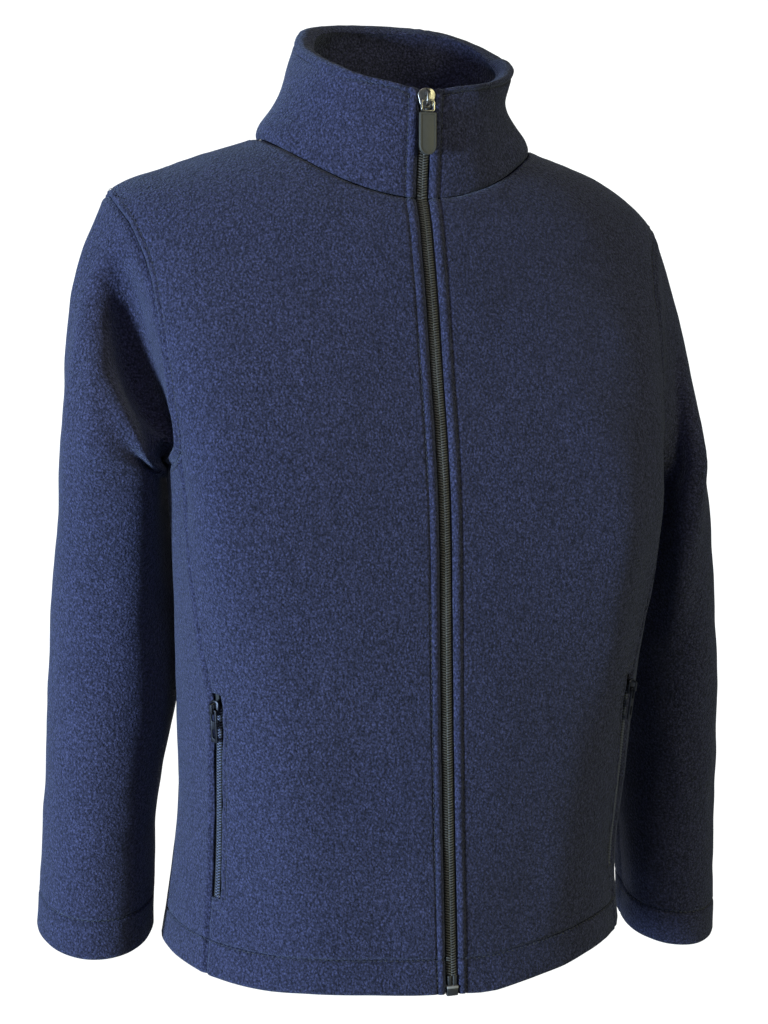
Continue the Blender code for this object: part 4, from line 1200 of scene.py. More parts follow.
def forward(side: Side, level: Array, angle: Array, width: Array) -> Array:
    """Return the angle that lies a width in front of a seam, measured round each ring."""
    turn = side.value * np.asarray(angle)
    arc = TORSO.points(turn + 1e-3, level) - TORSO.points(turn - 1e-3, level)
    return angle - width * 2e-3 / np.linalg.norm(arc, axis=-1)


# ---------------------------------------------------------------------------------------------
# The sleeves.
@dataclass
class Sleeve:
    """A sleeve: a cap from the armhole to its first ring, then a tube to the turned cuff."""

    side: Side
    steps: Tuple[int, int, int] = (40, 24, 40)
    cap_rows: int = 42
    row_step: float = 3.6
    hem_rows: int = 7
    seam_round: float = 196.0  # where the underarm seam runs, in degrees

    def __post_init__(self) -> None:
        """Find the armhole seam and the direction away from the torso along it."""
        sign = self.side.value
        columns = table(SLEEVE_COLUMNS, SLEEVE_ROWS[self.side])
        centres = np.stack([columns["out"], columns["y"], columns["z"]])
        self.spline = Spline(lengths_along(centres.T), columns)
        self.length = self.spline.stations[-1]
        angles, levels = armhole(self.side, self.steps)
        angle = sign * np.concatenate([run[:-1] for run in angles])
        level = np.concatenate([run[:-1] for run in levels])
        seam, self.upright = TORSO.points(angle, level), TORSO.normals(angle, level)
        along = unit(np.roll(seam, -1, axis=0) - np.roll(seam, 1, axis=0))
        self.away = unit(np.cross(self.upright, along)) * sign
        self.seam = seam + self.away * SEAM_GAP / 2
        lengths = np.linalg.norm(np.roll(seam, -1, axis=0) - seam, axis=1)
        self.share = np.concatenate([[0], np.cumsum(lengths)[:-1]]) / lengths.sum()

    def ring(self, at: float) -> Array:
        """Return a ring's points at this distance from the first, from its outer side."""
        row = {name: self.spline(name, at) for name in SLEEVE_COLUMNS}
        around, turn = 2 * math.pi * self.share, np.radians(row["turn"])
        out, back = row["half_out"] * np.cos(around), -row["half_y"] * np.sin(around)
        x = out * np.cos(turn) - back * np.sin(turn)
        y = out * np.sin(turn) + back * np.cos(turn)
        z = row["z"] + row["slope_out"] * x + row["slope_y"] * y
        return np.stack([self.side.value * (row["out"] + x), row["y"] + y, z], axis=-1)

    def cap(self, share: float) -> Array:
        """Return the cap's points at a share of the way from the armhole to the tube."""
        first = self.ring(0.0)
        down = unit(self.ring(1.0) - first)
        reach = np.maximum(np.linalg.norm(first - self.seam, axis=-1, keepdims=True), 14.0)
        a, b = 2 * share**3 - 3 * share**2 + 1, share**3 - 2 * share**2 + share
        c, d = -2 * share**3 + 3 * share**2, share**3 - share**2
        return a * self.seam + b * reach * self.away + c * first + d * reach * down

    def normals(self, points: Array) -> Array:
        """Return the directions out of a closed grid of points."""
        around = np.roll(points, -1, axis=1) - np.roll(points, 1, axis=1)
        return unit(np.cross(np.gradient(points, axis=0), around)) * -self.side.value

    def grid(self) -> Tuple[Array, Array, Array]:
        """Return the sleeve's points, its normals and how far along each row is."""
        caps = np.concatenate([[0, 0.006, 0.013, 0.022, 0.034], np.linspace(0.05, 1, self.cap_rows)])
        last = self.length - FOLD
        cuff = self.length - CUFF_HEIGHT
        stations = close_heights(0.0, last, self.row_step, (cuff,))[1:]
        points = np.stack([self.cap(s) for s in caps] + [self.ring(at) for at in stations])
        along = np.concatenate([(caps - 1) * 100, stations])
        turn = 360 * self.share[None]
        depth = pressed(SLEEVE_FOLDS[self.side], turn, along[:, None], SLEEVE_DEGREE)
        points = points - self.normals(points) * depth[..., None]
        normals = self.normals(points)
        normals[0] = self.upright
        return points, normals, along

    def build(self, finishes: Finishes) -> None:
        points, normals, along = self.grid()
        turn = 360 * self.share[None]
        out = -pressed(SLEEVE_CREASES[self.side], turn, along[:, None], SLEEVE_DEGREE)
        out += rumple(points, 40.0, 1.2) + rumple(points + 300.0, 15.0, 0.4)
        seam = np.concatenate([self.seam, self.seam[:1]])
        out += PLAIN_SEAM.shift(distance(points, seam))
        gap = np.abs(along - (self.length - CUFF_HEIGHT))[:, None]
        out += STITCHED_LINE.shift(gap) * (along > 0)[:, None]
        out += rumple(points + 90.0, 8.0, 0.6) * np.exp(-((gap / 7.0) ** 2))
        across = np.abs(turn - self.seam_round) * SLEEVE_DEGREE
        out += Sewing(roll=0.8).shift(across) * np.clip((along + 60) / 40, 0, 1)[:, None]
        moved = points + normals * out[..., None]
        moved = np.concatenate([moved, moved[:, :1]], axis=1)
        facing = np.concatenate([normals, normals[:, :1]], axis=1)
        rows = int(np.sum(along > self.length - CUFF_HEIGHT))
        sheet = Sheet(moved, facing, closed=True).turned(rows, last=True)
        piece = cloth_piece(f"sleeve_{self.side.label}_cloth", sheet)
        dress(piece, finishes.fleece, "fleece", f"sleeve_{self.side.label}")
        LOG.info("dressed the %s sleeve", self.side.label)

    def cuff_line(self) -> Tuple[Array, Array]:
        """Return the line of the cuff's stitching and the directions out of it."""
        points, normals, along = self.grid()
        row = int(np.argmin(np.abs(along - (self.length - CUFF_HEIGHT))))
        return points[row], normals[row]


# ---------------------------------------------------------------------------------------------
# The collar.
@dataclass
class Collar:
    """The stand collar: one strip folded over at its rim and open at the centre front."""

    columns: int = 120
    rows: int = 26
    rim_radius: float = 2.9
    rim_bead: float = 2.1
    rim_puff: float = 0.8
    waist: float = 2.4  # how far the middle is drawn in under the rim
    lean: float = 4.0  # how far the rim leans in at the wearer's right

    def levels(self) -> Array:
        """Return the levels of the rows, close together at the neck seam and at the rim."""
        arc = lengths_along(COLLAR.points(math.pi / 2, np.linspace(0, 1, 200)))
        top = arc[-1] - self.rim_radius - self.rim_bead
        near = np.array((0.15, 0.6, 1.1, 1.8, 2.6, 3.6))
        rim = arc[-1] - RIM_STITCH + np.array((-3.0, -1.8, -0.9, -0.3, 0.3, 0.9))
        places = np.unique(np.concatenate([near, np.linspace(5.5, top, self.rows), rim]))
        places = places[places <= top]
        return np.interp(places, arc, np.linspace(0, 1, 200))

    def build(self, finishes: Finishes) -> None:
        level = self.levels()
        first = COLLAR.angle_at(FRONT_EDGE, level)
        share = np.linspace(0, 1, 401)
        dense = first[:, None] + (2 * math.pi - 2 * first)[:, None] * share
        points = COLLAR.points(dense, level[:, None])
        steps = np.linalg.norm(np.diff(points, axis=1), axis=-1)
        arc = np.concatenate([np.zeros((len(steps), 1)), np.cumsum(steps, axis=1)], axis=1)
        edge = np.array(NEAR_STEPS)
        angle = []
        for row in range(len(level)):
            wide = np.linspace(edge[-1], arc[row, -1] - edge[-1], self.columns)[1:-1]
            place = np.concatenate([edge, wide, arc[row, -1] - edge[::-1]])
            angle.append(np.interp(place, arc[row], dense[row]))
        angle, level = np.array(angle), level[:, None]
        points, normals = COLLAR.points(angle, level), COLLAR.normals(angle, level)
        out = rumple(points, 34.0, 0.9) + rumple(points + 200.0, 12.0, 0.35)
        out += NECK_SEAM.shift(distance(points, COLLAR.points(np.linspace(0, 2 * math.pi, 241), 0.0)))
        out += zip_fold(points)
        away = distance(points, self.rim_line()[0])
        above = distance(points, COLLAR.points(np.linspace(0, 2 * math.pi, 361), 1.0))
        out += self.rim_puff * np.exp(-(((above - 2.6) / 2.6) ** 2))
        out -= pressed(COLLAR_CREASES, np.degrees(angle), above, COLLAR_DEGREE)
        out -= self.drawn(points, above)
        sewn = 1 - 0.75 * self.left(points[..., 0])
        out += Sewing(groove=1.3).shift(away) * sewn
        out += rumple(points + 60.0, 7.0, 0.5) * np.exp(-((away / 6) ** 2))
        moved = points + normals * out[..., None]
        aside = np.clip((np.abs(points[-1, :, :1]) - FRONT_EDGE - 2) / 16, 0, 1)
        bead = self.rim_bead * np.where(points[-1, :, 1:2] > 0, 1.0, aside**2 * (3 - 2 * aside))
        thick = 1.7 * np.exp(-(((points[-1, :, :1] + 74) / 26) ** 2))
        lift = (self.rim_bead - bead[:, 0] - thick[:, 0]) * np.exp(-((above / 7) ** 2))
        bead = bead + thick
        back = np.exp(-(((points[..., 0] - 50) / 32) ** 2)) * np.clip((points[..., 1] + 40) / 60, 0, 1)
        moved[..., 2] += lift + 3.2 * back * np.exp(-((above / 16) ** 2))
        sheet = Sheet(moved, normals).turned(len(level) - 2, True, self.rim_radius, bead)
        piece = cloth_piece("collar_cloth", sheet)
        dress(piece, finishes.fleece, "fleece", "collar")
        LOG.info("dressed the collar")

    def left(self, x: Array) -> Array:
        """Return how near places are to the end that leans in, from 0 to 1."""
        return np.exp(-(((x + 76) / 30) ** 2))

    def drawn(self, points: Array, above: Array) -> Array:
        """Return how far the cloth is drawn in, at points this far below the rim."""
        x, y = points[..., 0], points[..., 1]
        left = self.left(x)
        sides = np.where(y > 0, 1.0, np.clip((np.abs(x) - 11) / 22, 0, 1))
        waist = self.waist * sides * (1 - left) * np.exp(-(((above - 20) / 12) ** 2))
        return waist + self.lean * left * np.clip((22 - above) / 17, 0, 1) ** 2

    def sewn_line(self) -> Tuple[Array, Array]:
        """Return the line that the rim's stitches follow and the directions out of it."""
        points, normals = self.rim_line()
        return points - normals * self.drawn(points, np.array(RIM_STITCH))[:, None], normals

    def rim_line(self) -> Tuple[Array, Array]:
        """Return the line of the rim's stitching on the plain form, and the directions out."""
        dense = np.linspace(0.8, 1, 120)
        angle = np.linspace(0.13, 2 * math.pi - 0.13, 260)
        points = COLLAR.points(angle[:, None], dense[None])
        steps = np.linalg.norm(np.diff(points, axis=1), axis=-1)
        below = steps.sum(axis=1, keepdims=True) - np.cumsum(steps, axis=1)
        level = np.array([np.interp(-RIM_STITCH, -row, dense[1:]) for row in below])
        return COLLAR.points(angle, level), COLLAR.normals(angle, level)


# ---------------------------------------------------------------------------------------------
# Sewing that shows.
@dataclass
class Stitching:
    """Rows of lockstitch, sunk in their grooves."""

    length: float = 2.5
    gap: float = 0.9
    radius: float = 0.30
    sunk: float = 0.42

    def run(self, line: Array, normals: Array) -> Tuple[Array, Array]:
        """Place the stitches of one row.

        Args:
            line: the points that the row follows.
            normals: the directions out of the cloth there.

        Returns:
            The middle and the axes of each stitch.
        """
        count = max(1, round(lengths_along(line)[-1] / (self.length + self.gap)))
        places = evenly(line, count)
        middles = (places[:-1] + places[1:]) / 2
        origins = at_places(line, middles)
        along = unit(at_places(line, middles + 0.05) - at_places(line, middles - 0.05))
        upright = unit(at_places(normals, middles))
        across = unit(np.cross(upright, along))
        return origins - upright * self.sunk, np.stack([across, upright, along], axis=1)

    def row(self, name: str, rows: Sequence[Tuple[Array, Array]], finishes: Finishes
            ) -> bpy.types.Object:
        """Make the stitches of several rows as one piece."""
        runs = [self.run(line, normals) for line, normals in rows]
        shape = bmesh.new()
        bmesh.ops.create_uvsphere(shape, u_segments=6, v_segments=5, radius=1.0)
        size = (self.radius, self.radius, self.length / 2)
        bmesh.ops.scale(shape, vec=size, verts=shape.verts)
        origins = np.concatenate([run[0] for run in runs])
        axes = np.concatenate([run[1] for run in runs])
        piece = arrayed(name, shape, origins, axes)
        LOG.info("%s: %d stitches", name, len(origins))
        return dress(piece, finishes.thread, "fleece")

    def build(self, torso: TorsoPanels, sleeves: Sequence[Sleeve], collar: Collar,
              finishes: Finishes) -> None:
        """Make every row of stitching on the jacket."""
        level = np.linspace(0.004, 1, 400)
        rim = np.linspace(0.0, self.rim_level(), 60)
        front, armholes, pockets = [], [], []
        for side in Side:
            for surface, at in ((TORSO, level), (COLLAR, rim)):
                away = zip_stitch(surface.spline("front_z", at))
                angle = surface.angle_at(side.value * away, at)
                front.append((surface.points(angle, at), surface.normals(angle, at)))
            armholes.append(self.armhole_row(side))
            line = torso.pocket_line(side)
            pockets.append((line, self.outward(line)))
        self.row("front_zip_stitching", front, finishes)
        self.row("armhole_stitching", armholes, finishes)
        self.row("pocket_stitching", pockets, finishes)
        angle = np.linspace(0.06, 2 * math.pi - 0.06, 500)
        at = np.full(500, float(TORSO.level(np.array(HEM_TOP))))
        hem = TORSO.points(angle, at)
        hem[:, 2] += hem_wave(hem)
        self.row("hem_stitching", [(hem, TORSO.normals(angle, at))], finishes)
        cuffs = []
        for sleeve in sleeves:
            points, normals = sleeve.cuff_line()
            cuffs.append((np.vstack([points, points[:1]]), np.vstack([normals, normals[:1]])))
        self.row("cuff_stitching", cuffs, finishes)
        self.row("collar_stitching", [collar.sewn_line()], finishes)

    def rim_level(self) -> float:
        """Return the collar's level where the zip's stitching meets that of the rim."""
        level = np.linspace(0.5, 1, 200)
        arc = lengths_along(COLLAR.points(0.1, level))
        return float(np.interp(arc[-1] - RIM_STITCH, arc, level))

    def outward(self, line: Array) -> Array:
        """Return the directions out of the torso beside a line of its points."""
        return unit(line - np.stack([line[:, 0] * 0.35, line[:, 1] * 0 + 20, line[:, 2]], axis=1))

    def armhole_row(self, side: Side) -> Tuple[Array, Array]:
        """Return the row of stitching beside an armhole, on the body's side of the seam."""
        angles, levels = armhole(side, (80, 50, 80))
        angle = side.value * np.concatenate(angles)
        level = np.concatenate(levels)
        seam, upright = TORSO.points(angle, level), TORSO.normals(angle, level)
        along = unit(np.gradient(seam, axis=0))
        away = unit(np.cross(upright, along)) * side.value
        return seam - away * TOPSTITCHED_SEAM.stitch_at, upright


# ---------------------------------------------------------------------------------------------
# The zips.
@dataclass
class Coil:
    """A closed coil: two rows of turns that mesh along the middle."""

    half_width: float = 3.25
    pitch: float = 1.66
    wire: float = 0.86
    slant: float = 0.75  # of each turn's heel above its head
    inset: float = 0.4  # of the top of the turns below the face of the cloth
    overlap: float = 0.35  # of each turn's head past the middle

    def turn(self) -> bmesh.types.BMesh:
        """Make one turn: a flat bar with a rounded head and a sunk heel."""
        shape = bmesh.new()
        bmesh.ops.create_cone(shape, cap_ends=True, cap_tris=False, segments=6, radius1=1.0,
                              radius2=1.0, depth=1.0)
        bmesh.ops.rotate(shape, verts=shape.verts, cent=(0, 0, 0),
                         matrix=Matrix.Rotation(math.pi / 2, 3, "Y"))
        long = self.half_width + self.overlap
        bmesh.ops.scale(shape, vec=(long, self.wire / 2, self.wire / 2), verts=shape.verts)
        bmesh.ops.translate(shape, vec=((self.half_width - self.overlap) / 2, 0, 0),
                            verts=shape.verts)
        edges = [edge for edge in shape.edges if abs(edge.verts[0].co.x - edge.verts[1].co.x) > 1]
        bmesh.ops.subdivide_edges(shape, edges=edges, cuts=2)
        for vertex in shape.verts:
            share = (vertex.co.x + self.overlap) / long
            vertex.co.z -= 0.55 * (2 * share - 1) ** 4 + 0.35 * share
            vertex.co.y += self.slant * max(share, 0.0) ** 1.5
        return shape

    def rows(self, line: Array, normals: Array) -> Tuple[Array, Array]:
        """Place the turns of both rows along a line.

        Args:
            line: the middle of the zip on the face of the cloth.
            normals: the directions out of the cloth there.

        Returns:
            The origins and the axes (across, along, out) of the turns.
        """
        count = round(lengths_along(line)[-1] / self.pitch)
        places = evenly(line, 2 * count)
        origins, axes = [], []
        for offset, sign in ((0, 1), (1, -1)):
            middles = places[offset : 2 * count - 1 + offset : 2]
            origin = at_places(line, middles)
            along = unit(at_places(line, middles + 0.05) - at_places(line, middles - 0.05))
            upright = unit(at_places(normals, middles))
            across = unit(np.cross(along, upright)) * sign
            origins.append(origin - upright * (self.inset + self.wire / 2))
            axes.append(np.stack([across, along, upright], axis=1))
        return np.concatenate(origins), np.concatenate(axes)

    def bed(self, line: Array, normals: Array, low: float) -> Sheet:
        """Return the strip of cord and tape below the turns."""
        along = unit(np.gradient(line, axis=0))
        across = unit(np.cross(along, normals))
        x = np.linspace(-self.half_width, self.half_width, 5)
        points = line[:, None] + across[:, None] * x[None, :, None] - normals[:, None] * low
        return Sheet(points, np.repeat(normals[:, None], 5, axis=1))


def mend_copy(name: str, node: bpy.types.Object, bevel: float, segments: int = 2
              ) -> bpy.types.Object:
    """Copy a hard solid, join its flat faces and round its edges.

    Args:
        name: the new piece's name.
        node: the solid.
        bevel: the width of the rounding, in millimetres.
        segments: of each rounding.

    Returns:
        The copy, in the same place.
    """
    shape = bmesh.new()
    shape.from_mesh(node.data)
    bmesh.ops.remove_doubles(shape, verts=shape.verts, dist=2e-6)
    bmesh.ops.dissolve_limit(shape, angle_limit=math.radians(3), verts=shape.verts,
                             edges=shape.edges)
    sharp = [edge for edge in shape.edges
             if len(edge.link_faces) == 2 and edge.calc_face_angle() > math.radians(35)]
    bmesh.ops.bevel(shape, geom=sharp, offset=bevel * MM, segments=segments, profile=0.5,
                    affect="EDGES", material=-1, clamp_overlap=True, offset_type="OFFSET")
    for face in shape.faces:
        face.smooth = True
    made = finished(name, shape)
    made.data.set_sharp_from_angle(angle=math.radians(40))
    return made


@dataclass
class Zips:
    """The front zip and the two pocket zips."""

    nodes: Dict[str, bpy.types.Object]
    front: Coil = field(default_factory=Coil)
    pocket: Coil = field(default_factory=lambda: Coil(half_width=2.1, pitch=1.85, wire=0.80,
                                                      slant=0.5, inset=0.45, overlap=0.3))

    def front_line(self) -> Tuple[Array, Array]:
        """Return the middle of the front zip, from above its box up to its slider."""
        low = TORSO.level(np.array(HEM_FRONT + 11.5), "front_z")
        torso = np.linspace(float(low), 1, 300)
        collar = np.linspace(0.01, float(COLLAR.level(np.array(SLIDER_Z), "front_z")), 60)
        line = np.concatenate([TORSO.points(0.0, torso), COLLAR.points(0.0, collar)])
        normals = np.concatenate([TORSO.normals(np.zeros(300), torso),
                                  COLLAR.normals(np.zeros(60), collar)])
        return line, normals

    def pocket_line(self, side: Side) -> Tuple[Array, Array]:
        """Return the middle of a pocket zip, from its foot up to its slider."""
        heights = np.linspace(POCKET_FOOT + 1.5, POCKET_SLIDER_Z, 120)
        level = TORSO.level(heights)
        ahead = POCKET_SLOT / 2 + (1.1 if side is Side.RIGHT else 0.0)
        angle = forward(side, level, seam_angle(PRINCESS, side, level), ahead)
        angle = side.value * angle
        return TORSO.points(angle, level), TORSO.normals(angle, level)

    def coil_piece(self, name: str, coil: Coil, line: Array, normals: Array, node: str,
                   finishes: Finishes) -> None:
        """Make one coil and the bed that it is woven to."""
        origins, axes = coil.rows(line, normals)
        turns = arrayed(f"{name}_coil", coil.turn(), origins, axes)
        drawn = finishes.coil if node == "zip_chain" else finishes.navy_coil
        dress(turns, drawn, "zip_coil", node)
        # The bed shows between the turns; its near-black cord finish is partly painted shade in those
        # gaps.
        bed = cloth_piece(f"{name}_bed", coil.bed(line, normals, coil.inset + 1.1), 0.5)
        dress(bed, finishes.cord, "zip_tape")
        LOG.info("%s: %d turns", name, len(origins))

    def build(self, finishes: Finishes) -> None:
        """Make every part of the zips and dress those that stay as solids."""
        line, normals = self.front_line()
        self.coil_piece("front_zip", self.front, line, normals, "zip_chain", finishes)
        for side in Side:
            line, normals = self.pocket_line(side)
            self.coil_piece(f"pocket_zip_{side.label}", self.pocket, line, normals,
                            f"pocket_chain_{side.label}", finishes)
        for name, node in self.nodes.items():
            if "tape" in name:
                node.data.materials.clear()
                node.data.materials.append(finishes.tape)
        line, normals = self.front_line()
        self.slider(line, normals, finishes)
        hardware = [("front_pull_link", "front_pull", 0.3)]
        for side in Side:
            hardware.append((f"pocket_slider_{side.label}", BODY, 0.22))
            hardware.append((f"pocket_pull_{side.label}", f"pocket_pull_{side.label}", 0.22))
        for name, body, bevel in hardware:
            piece = mend_copy(f"{name}_rounded", self.nodes[name], bevel)
            plating = finishes.dark_nickel if "pocket" in name else finishes.nickel
            dress(piece, plating, "metal", name, body=body)
        self.box(finishes)
        self.tab(finishes)

    def slider(self, line: Array, normals: Array, finishes: Finishes) -> None:
        """Make the front zip's slider: a domed plate with wide shoulders, and its crown."""
        upright, along = normals[-1], unit(line[-1] - line[-2])
        across = unit(np.cross(along, upright))
        along = np.cross(upright, across)
        half = ((3.5, -6.0), (4.5, -3.4), (5.3, -0.4), (5.8, 1.4), (5.8, 3.0), (4.9, 4.6),
                (3.4, 5.7), (1.6, 6.3))
        outline = list(half) + [(-x, t) for x, t in half[::-1]]
        shape = bmesh.new()
        for low, high, places in ((-0.2, 1.5, outline), (-4.9, -3.9, [(x * 0.6, t) for x, t in outline])):
            base = shape.faces.new([shape.verts.new((x, t, low)) for x, t in places])
            raised = bmesh.ops.extrude_face_region(shape, geom=[base])["geom"]
            bmesh.ops.translate(shape, vec=(0, 0, high - low),
                                verts=[v for v in raised if isinstance(v, bmesh.types.BMVert)])
        profile = ((6.0, 0.9), (5.5, 2.6), (4.4, 4.3), (2.6, 5.0), (-1.6, 5.1), (-3.4, 4.4),
                   (-4.6, 2.6), (-5.0, 0.9), (-3.4, 0.9), (-2.9, 3.6), (1.2, 3.9), (2.0, 0.9))
        side = shape.faces.new([shape.verts.new((-1.15, t, n)) for t, n in profile])
        raised = bmesh.ops.extrude_face_region(shape, geom=[side])["geom"]
        bmesh.ops.translate(shape, vec=(2.3, 0, 0),
                            verts=[v for v in raised if isinstance(v, bmesh.types.BMVert)])
        bmesh.ops.recalc_face_normals(shape, faces=shape.faces)
        sharp = [edge for edge in shape.edges if edge.calc_face_angle(0.0) > math.radians(40)]
        bmesh.ops.bevel(shape, geom=sharp, offset=0.42, segments=3, profile=0.5, affect="EDGES",
                        material=-1, clamp_overlap=True, offset_type="OFFSET")
        for vertex in shape.verts:
            x, t, n = vertex.co
            if abs(x) > 1.2 and n > 0.8:
                n -= 0.9 * (abs(x) / 5.8) ** 3
            vertex.co = (line[-1] + across * x + along * t + upright * n) * MM
        for face in shape.faces:
            face.smooth = True
        made = finished("zip_slider_body", shape)
        made.data.set_sharp_from_angle(angle=math.radians(45))
        dress(made, finishes.nickel, "metal", "zip_slider")

    def box(self, finishes: Finishes) -> None:
        """Make the retainer at the foot of the front zip, its pale lip and its two pins."""
        low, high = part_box("zip_box")
        half = (high[0] - low[0]) / 2
        centre = ((low[0] + high[0]) / 2, (low[1] + high[1]) / 2)
        foot, depth = low[2] - 2.1 * MM, (high[1] - low[1]) * 0.78
        block = rounded_block("zip_retainer", (half * 2, depth, 5.0 * MM),
                              (centre[0], centre[1], foot + 2.5 * MM), 0.6 * MM)
        dress(block, finishes.moulding, "metal", "zip_box")
        lip = rounded_block("zip_retainer_lip", (half * 2.02, depth + 0.5 * MM, 1.5 * MM),
                            (centre[0], centre[1] - 0.15 * MM, foot + 5.6 * MM), 0.4 * MM)
        dress(lip, finishes.pale_band, "metal")
        for side in Side:
            pin = rounded_block(f"zip_pin_{side.label}", (2.5 * MM, 1.8 * MM, 7.0 * MM),
                                (centre[0] + side.value * 1.75 * MM, centre[1], foot + 9.4 * MM),
                                0.5 * MM)
            dress(pin, finishes.moulding, "metal")

    def tab(self, finishes: Finishes) -> None:
        """Make the rubber tab of the front pull, with a raised border round a bare face."""
        piece = mend_copy("front_pull_tab_rounded", self.nodes["front_pull_tab"], 0.35, 3)
        dress(piece, finishes.rubber, "tab_rubber", "front_pull_tab", body="front_pull")
        low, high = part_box("front_pull_tab")
        middle_x, front = (low[0] + high[0]) / 2, low[1]
        half, foot, head = (high[0] - low[0]) / 2, low[2], high[2] - 0.5 * MM
        border = bmesh.new()
        corners = []
        for turn in np.linspace(math.pi, 2 * math.pi, 15):
            corners.append((math.cos(turn) * half * 0.93, foot + half + math.sin(turn) * half * 0.93))
        corners += [(half * 0.93, head), (-half * 0.93, head)]
        verts = [border.verts.new((middle_x + x, front + 0.05 * MM, z)) for x, z in corners]
        face = border.faces.new(verts)
        face.normal_update()
        ring = bmesh.ops.inset_region(border, faces=[face], thickness=0.9 * MM, use_boundary=True,
                                      use_even_offset=True)["faces"]
        bmesh.ops.delete(border, geom=[f for f in border.faces if f not in set(ring)],
                         context="FACES")
        raised = bmesh.ops.extrude_face_region(border, geom=border.faces[:])["geom"]
        bmesh.ops.translate(border, vec=(0, -0.35 * MM, 0),
                            verts=[v for v in raised if isinstance(v, bmesh.types.BMVert)])
        bmesh.ops.recalc_face_normals(border, faces=border.faces)
        made = finished("front_pull_border", border)
        rounding = made.modifiers.new("round", "BEVEL")
        rounding.width, rounding.segments = 0.15 * MM, 2
        dress(made, finishes.rubber, "tab_rubber", body="front_pull")


def rounded_block(name: str, size: Tuple[float, float, float], centre: Tuple[float, float, float],
                  radius: float) -> bpy.types.Object:
    """Make a small block with rounded edges, in metres."""
    shape = bmesh.new()
    bmesh.ops.create_cube(shape, size=1.0)
    bmesh.ops.scale(shape, vec=size, verts=shape.verts)
    bmesh.ops.translate(shape, vec=centre, verts=shape.verts)
    bmesh.ops.bevel(shape, geom=shape.edges[:], offset=radius, segments=3, profile=0.5,
                    affect="EDGES", material=-1)
    for face in shape.faces:
        face.smooth = True
    return finished(name, shape)


# ---------------------------------------------------------------------------------------------
# The studio.
@dataclass(frozen=True)
class Light:
    """A soft area light aimed at the jacket."""

    name: str
    place: Tuple[float, float, float]
    size: float
    power: float
    colour: Tuple[float, float, float]

    def build(self, target: Vector) -> None:
        """Make the light."""
        lamp = bpy.data.lights.new(self.name, "AREA")
        lamp.shape, lamp.size = "DISK", self.size
        lamp.energy, lamp.color = self.power, self.colour
        made = bpy.data.objects.new(self.name, lamp)
        made.location = self.place
        made.rotation_euler = (Vector(self.place) - target).to_track_quat("Z", "Y").to_euler()
        bpy.context.scene.collection.objects.link(made)


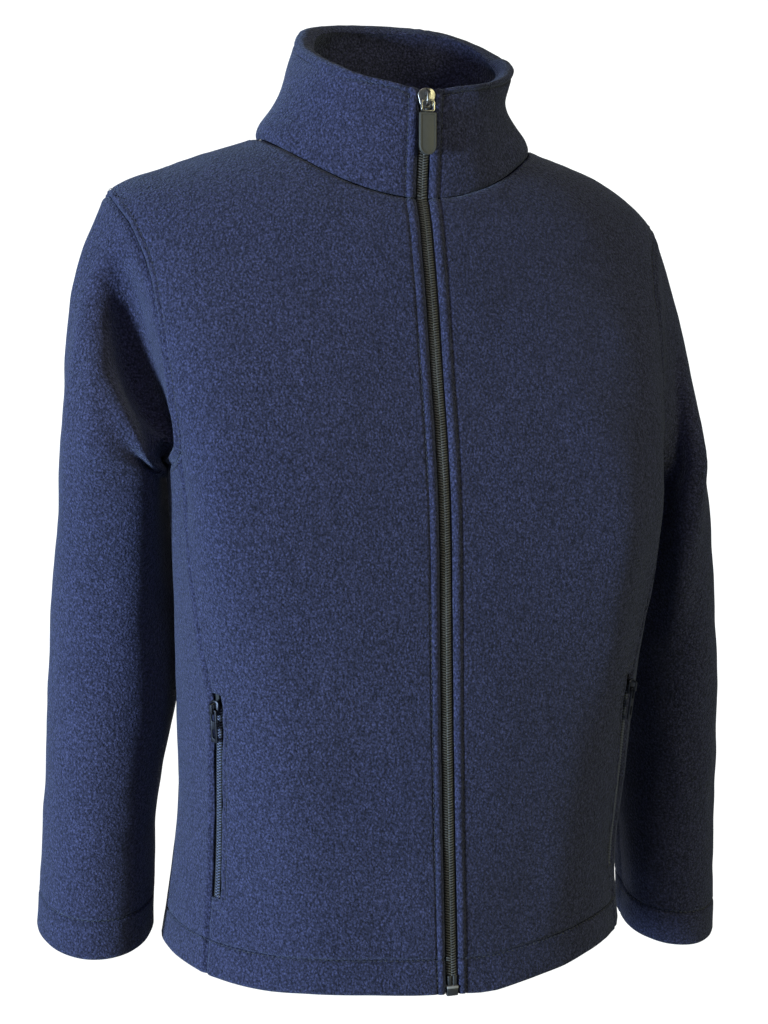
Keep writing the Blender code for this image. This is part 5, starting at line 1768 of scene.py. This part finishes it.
@dataclass
class Studio:
    """The camera, the sweep of pale paper and the lights."""

    azimuth: float = -17.3
    elevation: float = 6.2
    roll: float = 0.1
    distance: float = 1.2
    focal_pixels: float = 1770.0
    picture: Tuple[int, int] = (768, 1024)
    shift: Tuple[float, float] = (-0.006, 0.002)
    middle: float = -0.25  # height of the middle of the picture
    floor: float = -1.0  # where the wearer's feet would be
    lights: Tuple[Light, ...] = (
        Light("key", (-2.05, -0.85, -0.30), 0.42, 113.0, (0.66, 0.88, 1.06)),
        Light("fill", (1.3, -1.6, 0.2), 0.7, 18.5, (1.0, 0.97, 0.50)),
        Light("top", (-0.35, -0.6, 0.72), 0.3, 2.8, (1.0, 0.95, 0.90)),
    )

    def camera(self) -> None:
        """Make the camera and set it as the scene's."""
        turn, rise = math.radians(self.azimuth), math.radians(self.elevation)
        back = Vector((math.sin(turn) * math.cos(rise), -math.cos(turn) * math.cos(rise),
                       math.sin(rise)))
        right = Vector((math.cos(turn), math.sin(turn), 0.0))
        up = back.cross(right)
        tip = math.radians(self.roll)
        place = Vector((0, 0, self.middle)) + back * self.distance
        place += right * self.shift[0] + up * self.shift[1]
        right, up = right * math.cos(tip) + up * math.sin(tip), up * math.cos(tip) - right * math.sin(tip)
        lens = bpy.data.cameras.new("camera")
        lens.sensor_width, lens.sensor_fit = 36.0, "AUTO"
        lens.lens = self.focal_pixels / max(self.picture) * lens.sensor_width
        lens.clip_start, lens.clip_end = 0.05, 50.0
        made = bpy.data.objects.new("camera", lens)
        frame = Matrix((right, up, back)).transposed().to_4x4()
        frame.translation = place
        made.matrix_world = frame
        bpy.context.scene.collection.objects.link(made)
        bpy.context.scene.camera = made

    def sweep(self) -> None:
        """Make the floor and the round wall behind it as one curved sheet of paper."""
        shape = bmesh.new()
        radius, cove, height = 2.6, 0.9, 3.2
        bends = np.linspace(0, math.pi / 2, 9)
        line = [(0.02, 0.0)]
        line += [(radius - cove + cove * math.sin(a), cove * (1 - math.cos(a))) for a in bends]
        line.append((radius, height))
        verts = [shape.verts.new((0.0, -x, self.floor + z)) for x, z in line]
        edges = [shape.edges.new(pair) for pair in zip(verts[:-1], verts[1:])]
        bmesh.ops.spin(shape, geom=verts + edges, cent=(0, 0, 0), axis=(0, 0, 1),
                       angle=2 * math.pi, steps=64, use_merge=True)
        rim = [edge for edge in shape.edges if edge.is_boundary and edge.calc_length() < 0.05]
        bmesh.ops.holes_fill(shape, edges=rim, sides=0)
        bmesh.ops.recalc_face_normals(shape, faces=shape.faces)
        for face in shape.faces:
            face.smooth = True
        made = finished("sweep", shape)
        made.data.materials.append(Paper().material())

    def build(self) -> None:
        """Make the whole studio."""
        self.camera()
        self.sweep()
        for light in self.lights:
            light.build(Vector((0, 0, self.middle)))
        world = bpy.data.worlds.new("studio")
        world.use_nodes = True
        backdrop = world.node_tree.nodes["Background"]
        backdrop.inputs["Color"].default_value = (0.95, 0.97, 1.0, 1.0)
        backdrop.inputs["Strength"].default_value = 0.02
        bpy.context.scene.world = world
        bpy.context.scene.view_settings.view_transform = "Standard"


def main() -> None:
    """Dress the frame as the finished jacket."""
    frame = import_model()
    Studio().build()
    finishes = Finishes()
    torso, collar = TorsoPanels(), Collar()
    torso.build(finishes)
    sleeves = [Sleeve(side) for side in Side]
    for sleeve in sleeves:
        sleeve.build(finishes)
    collar.build(finishes)
    Stitching().build(torso, sleeves, collar, finishes)
    Zips(frame["nodes"]).build(finishes)


if __name__ == "__main__":
    logging.basicConfig(level=logging.INFO, format="%(name)s: %(message)s")
    main()
